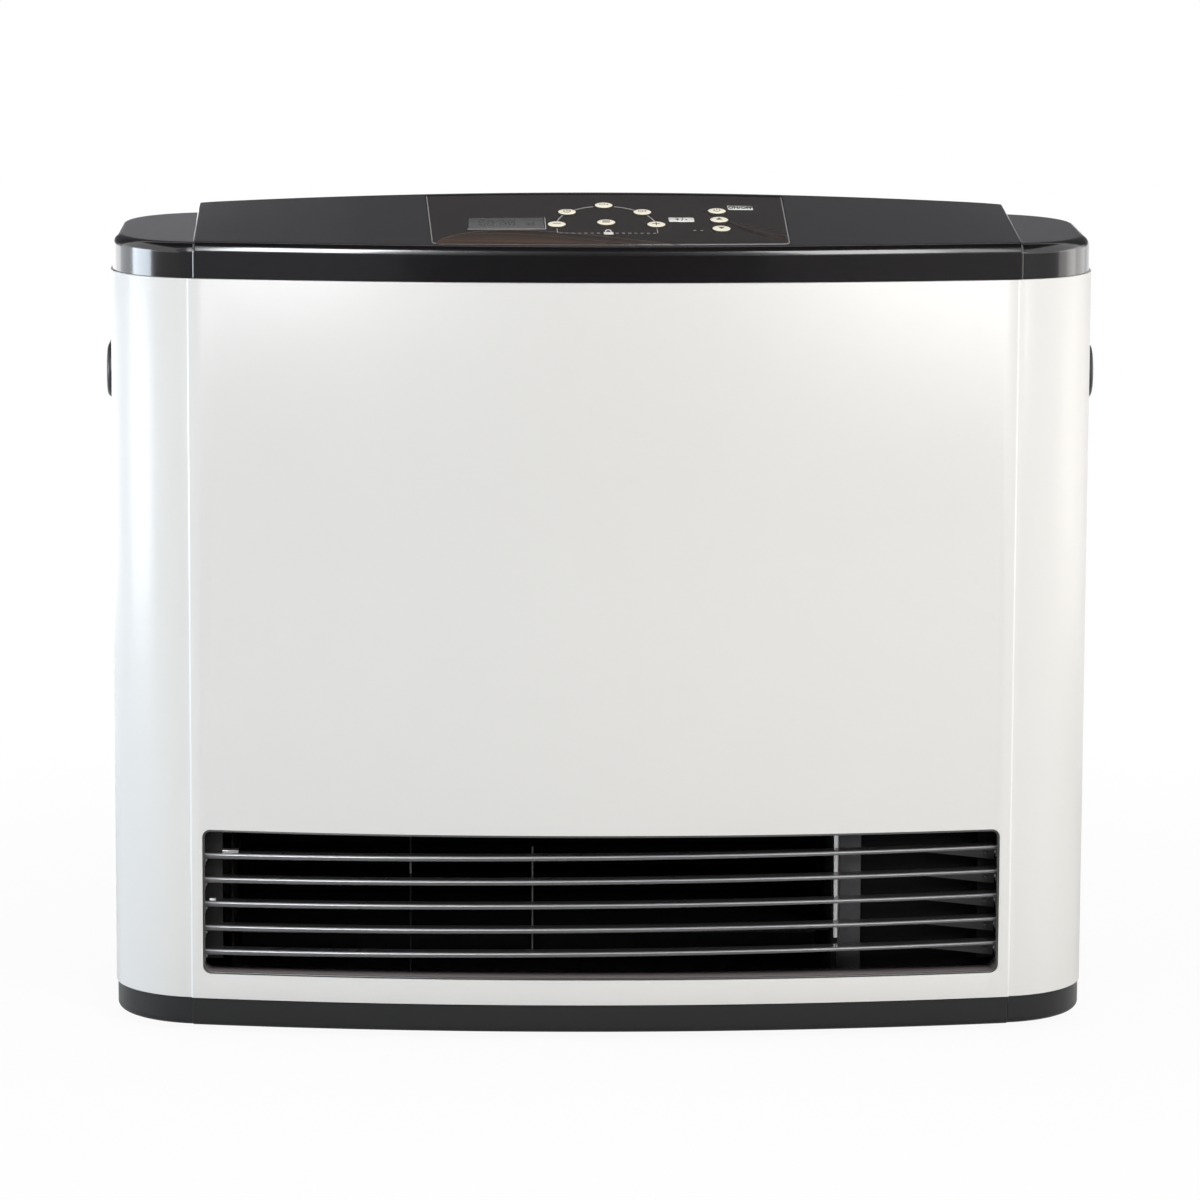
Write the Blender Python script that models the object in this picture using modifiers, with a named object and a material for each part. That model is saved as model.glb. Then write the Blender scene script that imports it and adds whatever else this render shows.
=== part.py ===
"""Flueless gas heater: a floor-standing, fan-forced room heater.

Metres, +Z up. The front faces -Y. The origin is on the floor, under the middle of the heater.
Places inside the heater are worked out as (x, depth, z), where depth runs back from the side wraps' front.
"""

import math

import bmesh
import bpy
from mathutils import Matrix, Vector

# Clearance between neighbours, and sheet and moulding thicknesses
FIT = 0.0003
SHEET = 0.0012
MOULDING = 0.0030

# Outer form of the casing, seen from above
WIDTH = 0.660
CASE_DEPTH = 0.2345
WALL_GAP = 0.014
BOW_RADIUS = 1.574
CORNER_RADIUS = 0.065
REAR_RADIUS = 0.070
CREASE_STEP = 0.0015
CREASE_RAMP = 0.0014
SEAM_MARGIN = 0.0025
SEAM_TONGUE = 0.007
SHEET_RETURN = 0.010

# Heights, from the floor up
FOOT_HEIGHT = 0.005
BASE_HEIGHT = 0.019
CASE_HEIGHT = 0.4874
CAP_HEIGHT = 0.0234
HUMP_RISE = 0.0065
HUMP_CROWN = 0.0076

# Cap and base mouldings
CAP_INSET = 0.0015
CAP_NOSE = 0.007
HUMP_EDGE = 0.0012
BASE_INSET = 0.001
BASE_CHAMFER = 0.004
FOOT_RADIUS = 0.014
FOOT_INSET = 0.045

# Controls
FASCIA_CENTRE_X = 0.0045
FASCIA_HALF_WIDTH = 0.1192
FASCIA_FLARE = 0.0047
FASCIA_SETBACK = 0.0092
FASCIA_REAR_MARGIN = 0.010
FASCIA_CORNER = 0.007
FASCIA_RECESS = 0.0004
FASCIA_THICKNESS = 0.0012
FASCIA_LEDGE = 0.007
KEY_WIDTH = 0.0128
KEY_LENGTH = 0.024
KEY_PROUD = 0.0013
KEY_TRAVEL = 0.0006
KEY_STEM = 0.0045
ARC_CENTRE = (0.0032, 0.092)
ARC_HALF_WIDTH = 0.0335
ARC_DEPTH = 0.080
CENTRE_KEY_OFFSET = 0.008
COLUMN_X = 0.080
COLUMN_DEPTH = 0.1135
COLUMN_PITCH = 0.0373
WINDOW_CENTRE = (-0.0643, 0.1015)
WINDOW_WIDTH = 0.0515
WINDOW_LENGTH = 0.046
LAMP_RADIUS = 0.0013
LAMP_CENTRE = (0.0642, 0.073)
LAMP_PITCH = 0.0046
BOARD_THICKNESS = 0.0016
SWITCH_SIZE = 0.006
SWITCH_HEIGHT = 0.0035
DISPLAY_BOARD_MARGIN = 0.004
BOARD_BOSS_RADIUS = 0.0034

# Warm air outlet and its louvres
OUTLET_CREASE_GAP = 0.0081
OUTLET_HEIGHT = 0.099
OUTLET_RISE = 0.017
OUTLET_CORNER = 0.0055
FRAME_DEPTH = 0.030
FRAME_LIP = 0.006
FRAME_SHEET = 0.001
BLADE_COUNT = 5
BLADE_SETBACK = 0.005
BLADE_DEPTH = 0.017
BLADE_HEM = 0.0032
BLADE_SHEET = 0.0012
TAB_DEPTH = 0.010
TAB_HEIGHT = 0.008
RIVET_RADIUS = 0.0019
RIVET_HEIGHT = 0.0011
BRACKET_WIDTH = 0.0125
WIRE_RADIUS = 0.0007
WIRE_PLACES = (-0.1285, -0.0465)

# Handles in the sides
HANDLE_END_GAP = 0.00385
HANDLE_HEIGHT = 0.037
HANDLE_PROUD = 0.0034
HANDLE_DROP = 0.0715
HANDLE_RIM = 0.007
HANDLE_POCKET = 0.026
HANDLE_WALL = 0.002

# Fan unit
FAN_SIDE_GAP = 0.080
CONTROL_BAY = 0.173
FAN_REAR_GAP = 0.0845
FAN_AXIS_RISE = 0.0129
FAN_RADIUS = 0.032
FAN_INNER_RADIUS = 0.0235
FAN_END_CLEARANCE = 0.004
FAN_BLADES = 20
FAN_BLADE_SHEET = 0.0010
FAN_DISC = 0.0020
SHAFT_RADIUS = 0.003
DUCT_GAP = 0.002
DUCT_TOP_LIP = 0.0036
DUCT_BOTTOM_LIP = 0.0224
SCROLL_START_GAP = 0.003
SCROLL_END_GAP = 0.012
SCROLL_LIP = 0.012
TONGUE_GAP = 0.0045
TONGUE_NOSE = 0.006
SCROLL_RISE = 0.086
BUSH_RADIUS = 0.009
BUSH_LENGTH = 0.009
MOTOR_RADIUS = 0.030
MOTOR_LENGTH = 0.044
MOTOR_FLANGE = 0.036
MOTOR_FLANGE_SHEET = 0.003

# Walls inside the casing
DIVIDER_GAP = 0.004
DIVIDER_DROP = 0.032
DIVIDER_FLANGE = 0.016
PLENUM_SETBACK = 0.012
PLENUM_DROP = 0.057
PLENUM_KNEE_RISE = 0.025
KNEE_RUN = 0.0125
KNEE_FALL = 0.0235
SHIELD_GAP = 0.016
SHIELD_BOSS_INSET = 0.030
SHIELD_BOSS_RADIUS = 0.006
TRAY_RIM_INSET = 0.0046

# Combustion chamber, burner and gas train
CHAMBER_SIDE_GAP = 0.045
MANIFOLD_ROOM = 0.046
CHAMBER_FRONT_GAP = 0.022
CHAMBER_REAR_GAP = 0.0445
CHAMBER_RISE = 0.021
CHAMBER_TOP_GAP = 0.039
CHAMBER_RAIL_INSET = 0.040
CHAMBER_RAIL_WIDTH = 0.016
CHAMBER_RAIL_END = 0.020
GAS_SLOTS = 3
GAS_SLOT_WIDTH = 0.012
GAS_SLOT_END = 0.030
BURNER_BARS = 3
BURNER_SIDE_GAP = 0.012
BURNER_BAR_WIDTH = 0.018
BURNER_BAR_HEIGHT = 0.030
BURNER_END_MARGIN = 0.018
BURNER_STAND = 0.010
STRAP_INSET = 0.030
STRAP_WIDTH = 0.016
VENTURI_RADIUS = 0.008
VENTURI_OVERHANG = 0.004
MANIFOLD_GAP = 0.023
MANIFOLD_END = 0.012
MANIFOLD_RADIUS = 0.007
INJECTOR_RADIUS = 0.0035
BRANCH_RADIUS = 0.0055
VALVE_LENGTH = 0.080
VALVE_DEPTH = 0.056
VALVE_HEIGHT = 0.052
VALVE_EDGE = 0.003
SOLENOID_RADIUS = 0.013
SOLENOID_HEIGHT = 0.030
GAS_PIPE_RADIUS = 0.006
GAS_PIPE_OFFSET = 0.068
GAS_INLET_Z = 0.078
GAS_PIPE_BEND = 0.020
UNION_HEX = 0.014
UNION_THREAD = 0.0105
UNION_PROUD = 0.0115
UNION_INSIDE = 0.020
PROBE_RADIUS = 0.0035
PROBE_WIRE = 0.0011
PROBE_REACH = 0.026
PROBE_RISE = 0.020

# Electrical pieces
BOARD_LENGTH = 0.105
CONTROL_BOARD_GAP = 0.0208
CONTROL_BOARD_DROP = 0.070
BOARD_POST = 0.008
BOARD_POST_RADIUS = 0.003
RELAY_HEIGHT = 0.016
CONNECTOR_LENGTH = 0.060
PROCESSOR_SIZE = 0.024
CAPACITOR_RADIUS = 0.009
CAPACITOR_HEIGHT = 0.022
TRANSFORMER_SIZE = (0.048, 0.044, 0.042)
TRANSFORMER_GAP = 0.060
TRANSFORMER_SETBACK = 0.018
THERMOSTAT_RADIUS = 0.010
THERMOSTAT_HEIGHT = 0.009
THERMISTOR_GAP = 0.020
THERMISTOR_SIZE = 0.012

# Rear panel and filters
WINDOW_INNER_EDGE = 0.018
WINDOW_OUTER_GAP = 0.052
WINDOW_RISE = 0.015
WINDOW_TOP_GAP = 0.087
FILTER_RIM = 0.008
FILTER_DEPTH = 0.0056
FILTER_MESH = 0.0008
FILTER_BARS = (2, 3)
FILTER_BAR = 0.0024
RAIL_SHEET = 0.0015
SPACER_EDGE_GAP = 0.019
SPACER_WIDTH = 0.030
SPACER_HEIGHT = 0.050
SPACER_DROP = 0.050
SPACER_WALL = 0.002
GLAND_OFFSET = 0.025
GLAND_RADIUS = 0.0085
GLAND_NECK = 0.012
GLAND_HEAD = 0.008
SCREW_RADIUS = 0.0038
SCREW_HEIGHT = 0.0022
SCREW_MARGIN = 0.018

# Facets
BOW_STEPS = 8
CORNER_STEPS = 7
REAR_STEPS = 6
NOSE_STEPS = 3
HUMP_STATIONS = 6
LOUVRE_STATIONS = 12
KEY_STEPS = 16

# Levels and planes that follow from the sizes above
HALF = WIDTH / 2
FRONT = CREASE_STEP - (CREASE_STEP + CASE_DEPTH + WALL_GAP) / 2
BASE_Z = FOOT_HEIGHT + FIT
BASE_TOP = BASE_Z + BASE_HEIGHT
CASE_Z = BASE_TOP + FIT
CASE_TOP = CASE_Z + CASE_HEIGHT
CAP_Z = CASE_TOP + FIT
CAP_TOP = CAP_Z + CAP_HEIGHT
TRAY_Z = BASE_Z + MOULDING + FIT
FLOOR_Z = TRAY_Z + SHEET + FIT
REAR_INSIDE = CASE_DEPTH - SHEET - FIT
STEP_DEPTH = CASE_DEPTH - SHEET_RETURN - FIT
STEP_Z = CASE_Z + SHEET + FIT
CREASE_ANGLE = math.asin((HALF - CORNER_RADIUS) / (BOW_RADIUS - CORNER_RADIUS))
CREASE_X = BOW_RADIUS * math.sin(CREASE_ANGLE)
CORNER_X = HALF - CORNER_RADIUS
CORNER_DEPTH = BOW_RADIUS - (BOW_RADIUS - CORNER_RADIUS) * math.cos(CREASE_ANGLE)
REAR_X = HALF - REAR_RADIUS
REAR_DEPTH = CASE_DEPTH - REAR_RADIUS
SEAM_DEPTH = REAR_DEPTH - SEAM_MARGIN
OUTLET_HALF_WIDTH = CREASE_X - OUTLET_CREASE_GAP
OUTLET_BOTTOM = CASE_Z + OUTLET_RISE
OUTLET_TOP = OUTLET_BOTTOM + OUTLET_HEIGHT
OUTLET_MIDDLE = (OUTLET_BOTTOM + OUTLET_TOP) / 2
PANEL_SLOPE = math.atan2(HUMP_RISE + HUMP_CROWN, CASE_DEPTH)

# Places inside that follow the casing
HANDLE_DEPTH = (CORNER_DEPTH + SEAM_DEPTH) / 2
HANDLE_LENGTH = SEAM_DEPTH - CORNER_DEPTH - 2 * HANDLE_END_GAP
HANDLE_Z = CASE_TOP - HANDLE_DROP
FAN_LEFT_X = FAN_SIDE_GAP - HALF
FAN_RIGHT_X = HALF - CONTROL_BAY
FAN_AXIS_DEPTH = CASE_DEPTH - FAN_REAR_GAP
FAN_AXIS_Z = OUTLET_MIDDLE + FAN_AXIS_RISE
DUCT_TOP = OUTLET_TOP - DUCT_TOP_LIP
DUCT_BOTTOM = OUTLET_BOTTOM + DUCT_BOTTOM_LIP
SCROLL_REAR_TOP = FAN_AXIS_Z + SCROLL_RISE
DIVIDER_X = FAN_RIGHT_X + DIVIDER_GAP
DIVIDER_TOP = CASE_TOP - DIVIDER_DROP
PLENUM_TOP = CASE_TOP - PLENUM_DROP
PLENUM_KNEE = SCROLL_REAR_TOP + PLENUM_KNEE_RISE
CHAMBER_LEFT = FAN_LEFT_X + CHAMBER_SIDE_GAP
CHAMBER_RIGHT = DIVIDER_X - MANIFOLD_ROOM
CHAMBER_REAR = CASE_DEPTH - CHAMBER_REAR_GAP
CHAMBER_BOTTOM = PLENUM_KNEE + CHAMBER_RISE
CHAMBER_TOP = PLENUM_TOP - CHAMBER_TOP_GAP
MANIFOLD_X = CHAMBER_RIGHT + MANIFOLD_GAP
GAS_PIPE_X = DIVIDER_X + GAS_PIPE_OFFSET
GLAND_X = DIVIDER_X + GLAND_OFFSET
WINDOW_OUTER_EDGE = REAR_X - WINDOW_OUTER_GAP
WINDOW_BOTTOM = SCROLL_REAR_TOP + WINDOW_RISE
WINDOW_TOP = CASE_TOP - WINDOW_TOP_GAP
SPACER_X = REAR_X - SPACER_EDGE_GAP
SPACER_Z = CASE_TOP - SPACER_DROP


def at(x, depth, z):
    """A point in the world from a place in the heater."""
    return Vector((x, FRONT + depth, z))


# Scene, collections and materials

for old in list(bpy.data.objects):
    bpy.data.objects.remove(old)

parts = bpy.data.collections.new("flueless_gas_heater")
cutters = bpy.data.collections.new("cutters")
bpy.context.scene.collection.children.link(parts)
bpy.context.scene.collection.children.link(cutters)


def material(name, colour, roughness, metallic=0.0):
    made = bpy.data.materials.new(name)
    made.use_nodes = True
    shader = made.node_tree.nodes["Principled BSDF"]
    shader.inputs["Base Color"].default_value = (*colour, 1.0)
    shader.inputs["Roughness"].default_value = roughness
    shader.inputs["Metallic"].default_value = metallic
    return made


WHITE_PAINT = material("white_paint", (0.83, 0.82, 0.79), 0.35)
CHARCOAL_GLOSS = material("charcoal_gloss", (0.045, 0.043, 0.046), 0.22)
CHARCOAL_SATIN = material("charcoal_satin", (0.035, 0.036, 0.038), 0.45)
FASCIA_BLACK = material("fascia_black", (0.030, 0.024, 0.022), 0.12)
KEY_CREAM = material("key_cream", (0.80, 0.74, 0.58), 0.40)
WINDOW_GREY = material("window_grey", (0.16, 0.17, 0.18), 0.15)
LAMP_CLEAR = material("lamp_clear", (0.70, 0.70, 0.68), 0.25)
BLACK_PAINT = material("black_paint", (0.03, 0.03, 0.032), 0.38)
BLACK_PLASTIC = material("black_plastic", (0.025, 0.025, 0.026), 0.45)
GREY_PAINT = material("grey_paint", (0.55, 0.55, 0.54), 0.45)
ZINC = material("zinc", (0.60, 0.61, 0.62), 0.38, 1.0)
STEEL = material("steel", (0.55, 0.55, 0.56), 0.30, 1.0)
ALUMINIUM = material("aluminium", (0.78, 0.78, 0.79), 0.32, 1.0)
ALUMINISED = material("aluminised", (0.50, 0.49, 0.47), 0.50, 1.0)
BRASS = material("brass", (0.72, 0.55, 0.26), 0.30, 1.0)
CERAMIC = material("ceramic", (0.86, 0.84, 0.80), 0.45)
BOARD_GREEN = material("board_green", (0.05, 0.22, 0.11), 0.50)
IRON = material("iron", (0.16, 0.15, 0.15), 0.60, 1.0)
MESH_GREY = material("mesh_grey", (0.20, 0.20, 0.21), 0.70)


# Modelling helpers

def new_object(name, mesh, look, smooth=30.0):
    mesh.shade_smooth()
    mesh.set_sharp_from_angle(angle=math.radians(smooth))
    made = bpy.data.objects.new(name, mesh)
    if look is None:
        cutters.objects.link(made)
        made.hide_render = True
        made.display_type = "WIRE"
    else:
        parts.objects.link(made)
        mesh.materials.append(look)
    return made


def finish_mesh(name, bm, closed=True):
    if closed:
        bmesh.ops.recalc_face_normals(bm, faces=bm.faces)
    mesh = bpy.data.meshes.new(name)
    bm.to_mesh(mesh)
    bm.free()
    return mesh


def bevel(made, width, segments=1, angle=40.0):
    step = made.modifiers.new("rounded_edges", "BEVEL")
    step.width = width
    step.segments = segments
    step.limit_method = "ANGLE"
    step.angle_limit = math.radians(angle)
    return made


def boolean(target, other, operation):
    step = target.modifiers.new(other.name, "BOOLEAN")
    step.operation = operation
    step.object = other
    step.solver = "EXACT"
    return target


def cut(target, *others):
    for other in others:
        boolean(target, other, "DIFFERENCE")
    return target


def join(target, *others):
    for other in others:
        boolean(target, other, "UNION")
    return target


def loft(name, rings, look, smooth=30.0):
    """A closed body through rings of points, with a face over each end ring."""
    bm = bmesh.new()
    rows = [[bm.verts.new(p) for p in ring] for ring in rings]
    count = len(rows[0])
    for low, high in zip(rows, rows[1:]):
        for i in range(count):
            j = (i + 1) % count
            bm.faces.new((low[i], low[j], high[j], high[i]))
    bm.faces.new(list(reversed(rows[0])))
    bm.faces.new(rows[-1])
    return new_object(name, finish_mesh(name, bm), look, smooth)


def sheet(name, rows, thickness, look, side=-1.0, ring=False):
    """An open surface through rows of points, with Solidify for its wall."""
    bm = bmesh.new()
    verts = [[bm.verts.new(p) for p in row] for row in rows]
    count = len(verts[0])
    for low, high in zip(verts, verts[1:]):
        for i in range(count if ring else count - 1):
            j = (i + 1) % count
            bm.faces.new((low[i], low[j], high[j], high[i]))
    made = new_object(name, finish_mesh(name, bm, closed=False), look)
    wall = made.modifiers.new("wall", "SOLIDIFY")
    wall.thickness = thickness
    wall.offset = side
    wall.use_even_offset = True
    return made


def box(name, low, high, look, round_by=0.0):
    """A block between two corners, given as places in the heater."""
    a = at(*low)
    b = at(*high)
    bm = bmesh.new()
    bmesh.ops.create_cube(bm, size=1.0)
    bmesh.ops.scale(bm, vec=b - a, verts=bm.verts)
    made = new_object(name, finish_mesh(name, bm), look)
    made.location = (a + b) / 2
    if round_by:
        bevel(made, round_by)
    return made


def rod(name, start, end, radius, look, steps=16, end_radius=None):
    """A round bar or cone between two places in the heater."""
    a = at(*start)
    b = at(*end)
    bm = bmesh.new()
    bmesh.ops.create_cone(
        bm, cap_ends=True, segments=steps, radius1=radius,
        radius2=radius if end_radius is None else end_radius, depth=(b - a).length,
    )
    made = new_object(name, finish_mesh(name, bm), look)
    made.location = (a + b) / 2
    made.rotation_euler = (b - a).to_track_quat("Z", "Y").to_euler()
    return made


def add_rods(target, spans, radius, steps=16, end_radius=None):
    """Fuses equal round pieces to a body, each between a pair of places."""
    for start, end in spans:
        join(target, rod(target.name + "_rod", start, end, radius, None, steps, end_radius))
    return target


def turned(name, profile, origin, direction, look, steps=20, ring=False):
    """A profile of (radius, height), from the foot up its outer side, turned about an axis.

    With ring the profile closes on itself and keeps off the axis.
    """
    bm = bmesh.new()
    verts = [bm.verts.new((r, 0.0, h)) for r, h in reversed(profile)]
    for a, b in zip(verts, verts[1:]):
        bm.edges.new((a, b))
    if ring:
        bm.edges.new((verts[-1], verts[0]))
    made = new_object(name, finish_mesh(name, bm, closed=False), look)
    step = made.modifiers.new("turned", "SCREW")
    step.steps = steps
    step.render_steps = steps
    step.use_merge_vertices = True
    step.merge_threshold = 0.00001
    made.location = at(*origin)
    made.rotation_euler = Vector(direction).to_track_quat("Z", "Y").to_euler()
    return made


def plate(name, outline, start, end, look):
    """A flat outline in the side view, given as (depth, z), made solid between two x places."""
    rings = [[at(x, d, z) for d, z in outline] for x in (start, end)]
    return loft(name, rings, look)


def bent_sheet(name, path, start, end, thickness, look, side):
    """A sheet bent along a path in the side view, given as (depth, z), between two x places."""
    rows = [[at(x, d, z) for d, z in path] for x in (start, end)]
    return sheet(name, rows, thickness, look, side)


def tube(name, points, radius, look):
    """A pipe or wire along places in the heater."""
    curve = bpy.data.curves.new(name, "CURVE")
    curve.dimensions = "3D"
    curve.bevel_depth = radius
    curve.bevel_resolution = 2
    curve.use_fill_caps = True
    line = curve.splines.new("POLY")
    line.points.add(len(points) - 1)
    for point, place in zip(line.points, points):
        point.co = (*at(*place), 1.0)
    curve.materials.append(look)
    made = bpy.data.objects.new(name, curve)
    parts.objects.link(made)
    return made


def arc(centre, radius, start, end, steps):
    """Points on an arc in a plane, angles in degrees."""
    points = []
    for i in range(steps + 1):
        a = math.radians(start + (end - start) * i / steps)
        points.append((centre[0] + radius * math.cos(a), centre[1] + radius * math.sin(a)))
    return points


# Plan of the casing

def bow_depth(x, behind=0.0):
    """Depth of the bowed centre band at x, a distance behind its face."""
    radius = BOW_RADIUS + CREASE_STEP - behind
    return BOW_RADIUS - math.sqrt(radius ** 2 - x ** 2)


DUCT_DEPTH = bow_depth(OUTLET_HALF_WIDTH, FRAME_DEPTH) + DUCT_GAP
PLENUM_DEPTH = DUCT_DEPTH + PLENUM_SETBACK
CHAMBER_FRONT = PLENUM_DEPTH + CHAMBER_FRONT_GAP


def front_half(inset, step=CREASE_STEP):
    """Right half of the plan, from the middle of the front, over the crease, to the end of the corner."""
    points = []
    band = BOW_RADIUS + step - inset
    band_angle = CREASE_ANGLE - CREASE_RAMP / BOW_RADIUS
    for i in range(BOW_STEPS + 1):
        a = band_angle * i / BOW_STEPS
        points.append((band * math.sin(a), BOW_RADIUS - band * math.cos(a)))
    corner = CORNER_RADIUS - inset
    for i in range(CORNER_STEPS + 1):
        a = CREASE_ANGLE + (math.pi / 2 - CREASE_ANGLE) * i / CORNER_STEPS
        points.append((CORNER_X + corner * math.sin(a), CORNER_DEPTH - corner * math.cos(a)))
    return points


def rear_half(inset):
    """Right half of the plan round the rear corner."""
    return [(x, d) for x, d in arc((REAR_X, REAR_DEPTH), REAR_RADIUS - inset, 0, 90, REAR_STEPS)]


def rear_depth(x, inset):
    """Depth of the back at x, round the rear corner where x is beyond the flat."""
    over = max(0.0, abs(x) - REAR_X)
    return REAR_DEPTH + math.sqrt((REAR_RADIUS - inset) ** 2 - over ** 2)


def plan(inset, step=CREASE_STEP):
    """The whole plan as a closed loop, anticlockwise from the middle of the front."""
    half = front_half(inset, step) + rear_half(inset)
    return half + [(-x, d) for x, d in reversed(half[1:])]


def plan_ring(inset, z, step=CREASE_STEP):
    return [at(x, d, z) for x, d in plan(inset, step)]


# Casing: front panel and rear panel

def front_panel():
    """One sheet from seam to seam, with its top and bottom edges turned in."""
    rows = []
    for inset, z in (
        (SHEET_RETURN, CASE_Z),
        (0.0, CASE_Z),
        (0.0, CASE_TOP),
        (SHEET_RETURN, CASE_TOP),
    ):
        half = front_half(inset) + [(HALF - inset, SEAM_DEPTH)]
        path = [(-x, d) for x, d in reversed(half[1:])] + half
        rows.append([at(x, d, z) for x, d in path])
    panel = sheet("front_panel", rows, SHEET, WHITE_PAINT)

    corner = arc((OUTLET_HALF_WIDTH - OUTLET_CORNER, OUTLET_TOP - OUTLET_CORNER), OUTLET_CORNER, 0, 90, 4)
    quarter = [(x, z - OUTLET_MIDDLE) for x, z in corner]
    top = quarter + [(-x, z) for x, z in reversed(quarter)]
    outline = top + [(-x, -z) for x, z in top]
    opening = loft(
        "outlet_opening",
        [[at(x, d, OUTLET_MIDDLE + z) for x, z in outline] for d in (-OUTLET_RISE, DUCT_DEPTH)],
        None,
    )
    cut(panel, opening)
    for side in (-1, 1):
        inner = side * (HALF - SHEET_RETURN)
        outer = side * (HALF + SHEET_RETURN)
        half_length = HANDLE_LENGTH / 2 - HANDLE_RIM + HANDLE_WALL + FIT
        half_height = HANDLE_HEIGHT / 2 - HANDLE_RIM + HANDLE_WALL + FIT
        slot = box(
            "handle_opening",
            (min(inner, outer), HANDLE_DEPTH - half_length, HANDLE_Z - half_height),
            (max(inner, outer), HANDLE_DEPTH + half_length, HANDLE_Z + half_height),
            None,
        )
        cut(panel, slot)
    return panel


def window_edges(side):
    """Left and right x of an intake window in the rear panel."""
    if side > 0:
        return WINDOW_INNER_EDGE, WINDOW_OUTER_EDGE
    return -WINDOW_OUTER_EDGE, -WINDOW_INNER_EDGE


def rear_panel():
    """The back and rear corners with their screws, and a tongue each side that slips inside the front panel."""
    rows = []
    for inset, z in (
        (SHEET_RETURN, CASE_Z),
        (0.0, CASE_Z),
        (0.0, CASE_TOP),
        (SHEET_RETURN, CASE_TOP),
    ):
        half = [(HALF - inset, SEAM_DEPTH + FIT)] + rear_half(inset)
        path = half + [(-x, d) for x, d in reversed(half)]
        rows.append([at(x, d, z) for x, d in path])
    panel = sheet("rear_panel", rows, SHEET, GREY_PAINT)

    low = CASE_Z + SHEET + FIT
    high = CASE_TOP - SHEET - FIT
    for side in (-1, 1):
        face = HALF - SHEET - FIT
        start = SEAM_DEPTH - SEAM_TONGUE
        step = SEAM_DEPTH + 2 * FIT
        outline = (
            (face - SHEET, start), (face, start), (face, step),
            (HALF - SHEET / 2, step), (HALF - SHEET / 2, step + SHEET), (face - SHEET, step + SHEET),
        )
        join(panel, loft("seam_tongue", [[at(side * x, d, z) for x, d in outline] for z in (low, high)], None))
        left, right = window_edges(side)
        window = box(
            "intake_window",
            (left, CASE_DEPTH - SHEET_RETURN, WINDOW_BOTTOM),
            (right, CASE_DEPTH + SHEET_RETURN, WINDOW_TOP),
            None,
        )
        cut(panel, window)
    union_hole = rod(
        "union_hole",
        (GAS_PIPE_X, CASE_DEPTH - SHEET_RETURN, GAS_INLET_Z),
        (GAS_PIPE_X, CASE_DEPTH + SHEET_RETURN, GAS_INLET_Z),
        UNION_THREAD + 2 * FIT, None,
    )
    gland_hole = rod(
        "gland_hole",
        (GLAND_X, CASE_DEPTH - SHEET_RETURN, GAS_INLET_Z),
        (GLAND_X, CASE_DEPTH + SHEET_RETURN, GAS_INLET_Z),
        GLAND_RADIUS * 0.8 + 2 * FIT, None,
    )
    cut(panel, union_hole, gland_hole)
    places = [(x, CASE_Z + SCREW_MARGIN) for x in (-SPACER_X, -SPACER_X / 3, SPACER_X / 3, SPACER_X)]
    places += [(x, CASE_TOP - SCREW_MARGIN) for x in (-SPACER_X, 0.0, SPACER_X)]
    spans = [((x, CASE_DEPTH - SHEET / 2, z), (x, CASE_DEPTH + SCREW_HEIGHT, z)) for x, z in places]
    return add_rods(panel, spans, SCREW_RADIUS, 8, SCREW_RADIUS * 0.7)


# Cap: flat sides with a rounded nose, and a crowned centre that climbs to the rear

def hump_z(x, depth):
    """Height of the cap's raised centre."""
    crown = HUMP_CROWN * (1 - (x / CREASE_X) ** 2)
    return CAP_TOP + depth / CASE_DEPTH * (HUMP_RISE + crown)


def cap_side_rings(wall):
    """Rings of the cap's flat part, or of its hollow, with a plainer nose, when wall is above zero."""
    inset = CAP_INSET + wall
    nose = CAP_NOSE - wall * 0.5
    bottom = CAP_Z if not wall else CAP_Z - MOULDING
    rings = [plan_ring(inset, bottom, 0.0)]
    steps = 1 if wall else NOSE_STEPS
    for k in range(steps + 1):
        a = math.pi / 2 * k / steps
        rings.append(plan_ring(
            inset + nose * (1 - math.cos(a)), CAP_TOP - wall - nose * (1 - math.sin(a)), 0.0))
    return rings


def hump_section(x, wall, drop):
    """Side view of the cap's raised centre at x."""
    nose = CAP_NOSE - wall * 0.5
    front = bow_depth(x, CAP_INSET + wall)
    rear = rear_depth(x, CAP_INSET + wall)
    bottom = CAP_Z if not wall else CAP_Z - MOULDING
    points = [at(x, front, bottom)]
    steps = 1 if wall else NOSE_STEPS
    for k in range(steps + 1):
        a = math.pi / 2 * k / steps
        depth = front + nose * (1 - math.cos(a))
        z = hump_z(x, front + nose) - wall - drop - nose * (1 - math.sin(a))
        points.append(at(x, depth, z))
    round_by = CAP_NOSE / 2
    points.append(at(x, rear - round_by, hump_z(x, rear - round_by) - wall - drop))
    points.append(at(x, rear, hump_z(x, rear) - wall - drop - round_by))
    points.append(at(x, rear, bottom))
    return points


def hump_body(name, wall, look):
    half = CREASE_X - CREASE_RAMP - wall
    stations = [-half]
    for i in range(-HUMP_STATIONS, HUMP_STATIONS + 1):
        stations.append((half - HUMP_EDGE) * i / HUMP_STATIONS)
    stations.append(half)
    rings = []
    for x in stations:
        drop = HUMP_EDGE if abs(x) == half else 0.0
        rings.append(hump_section(x, wall, drop))
    return loft(name, rings, look)


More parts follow.
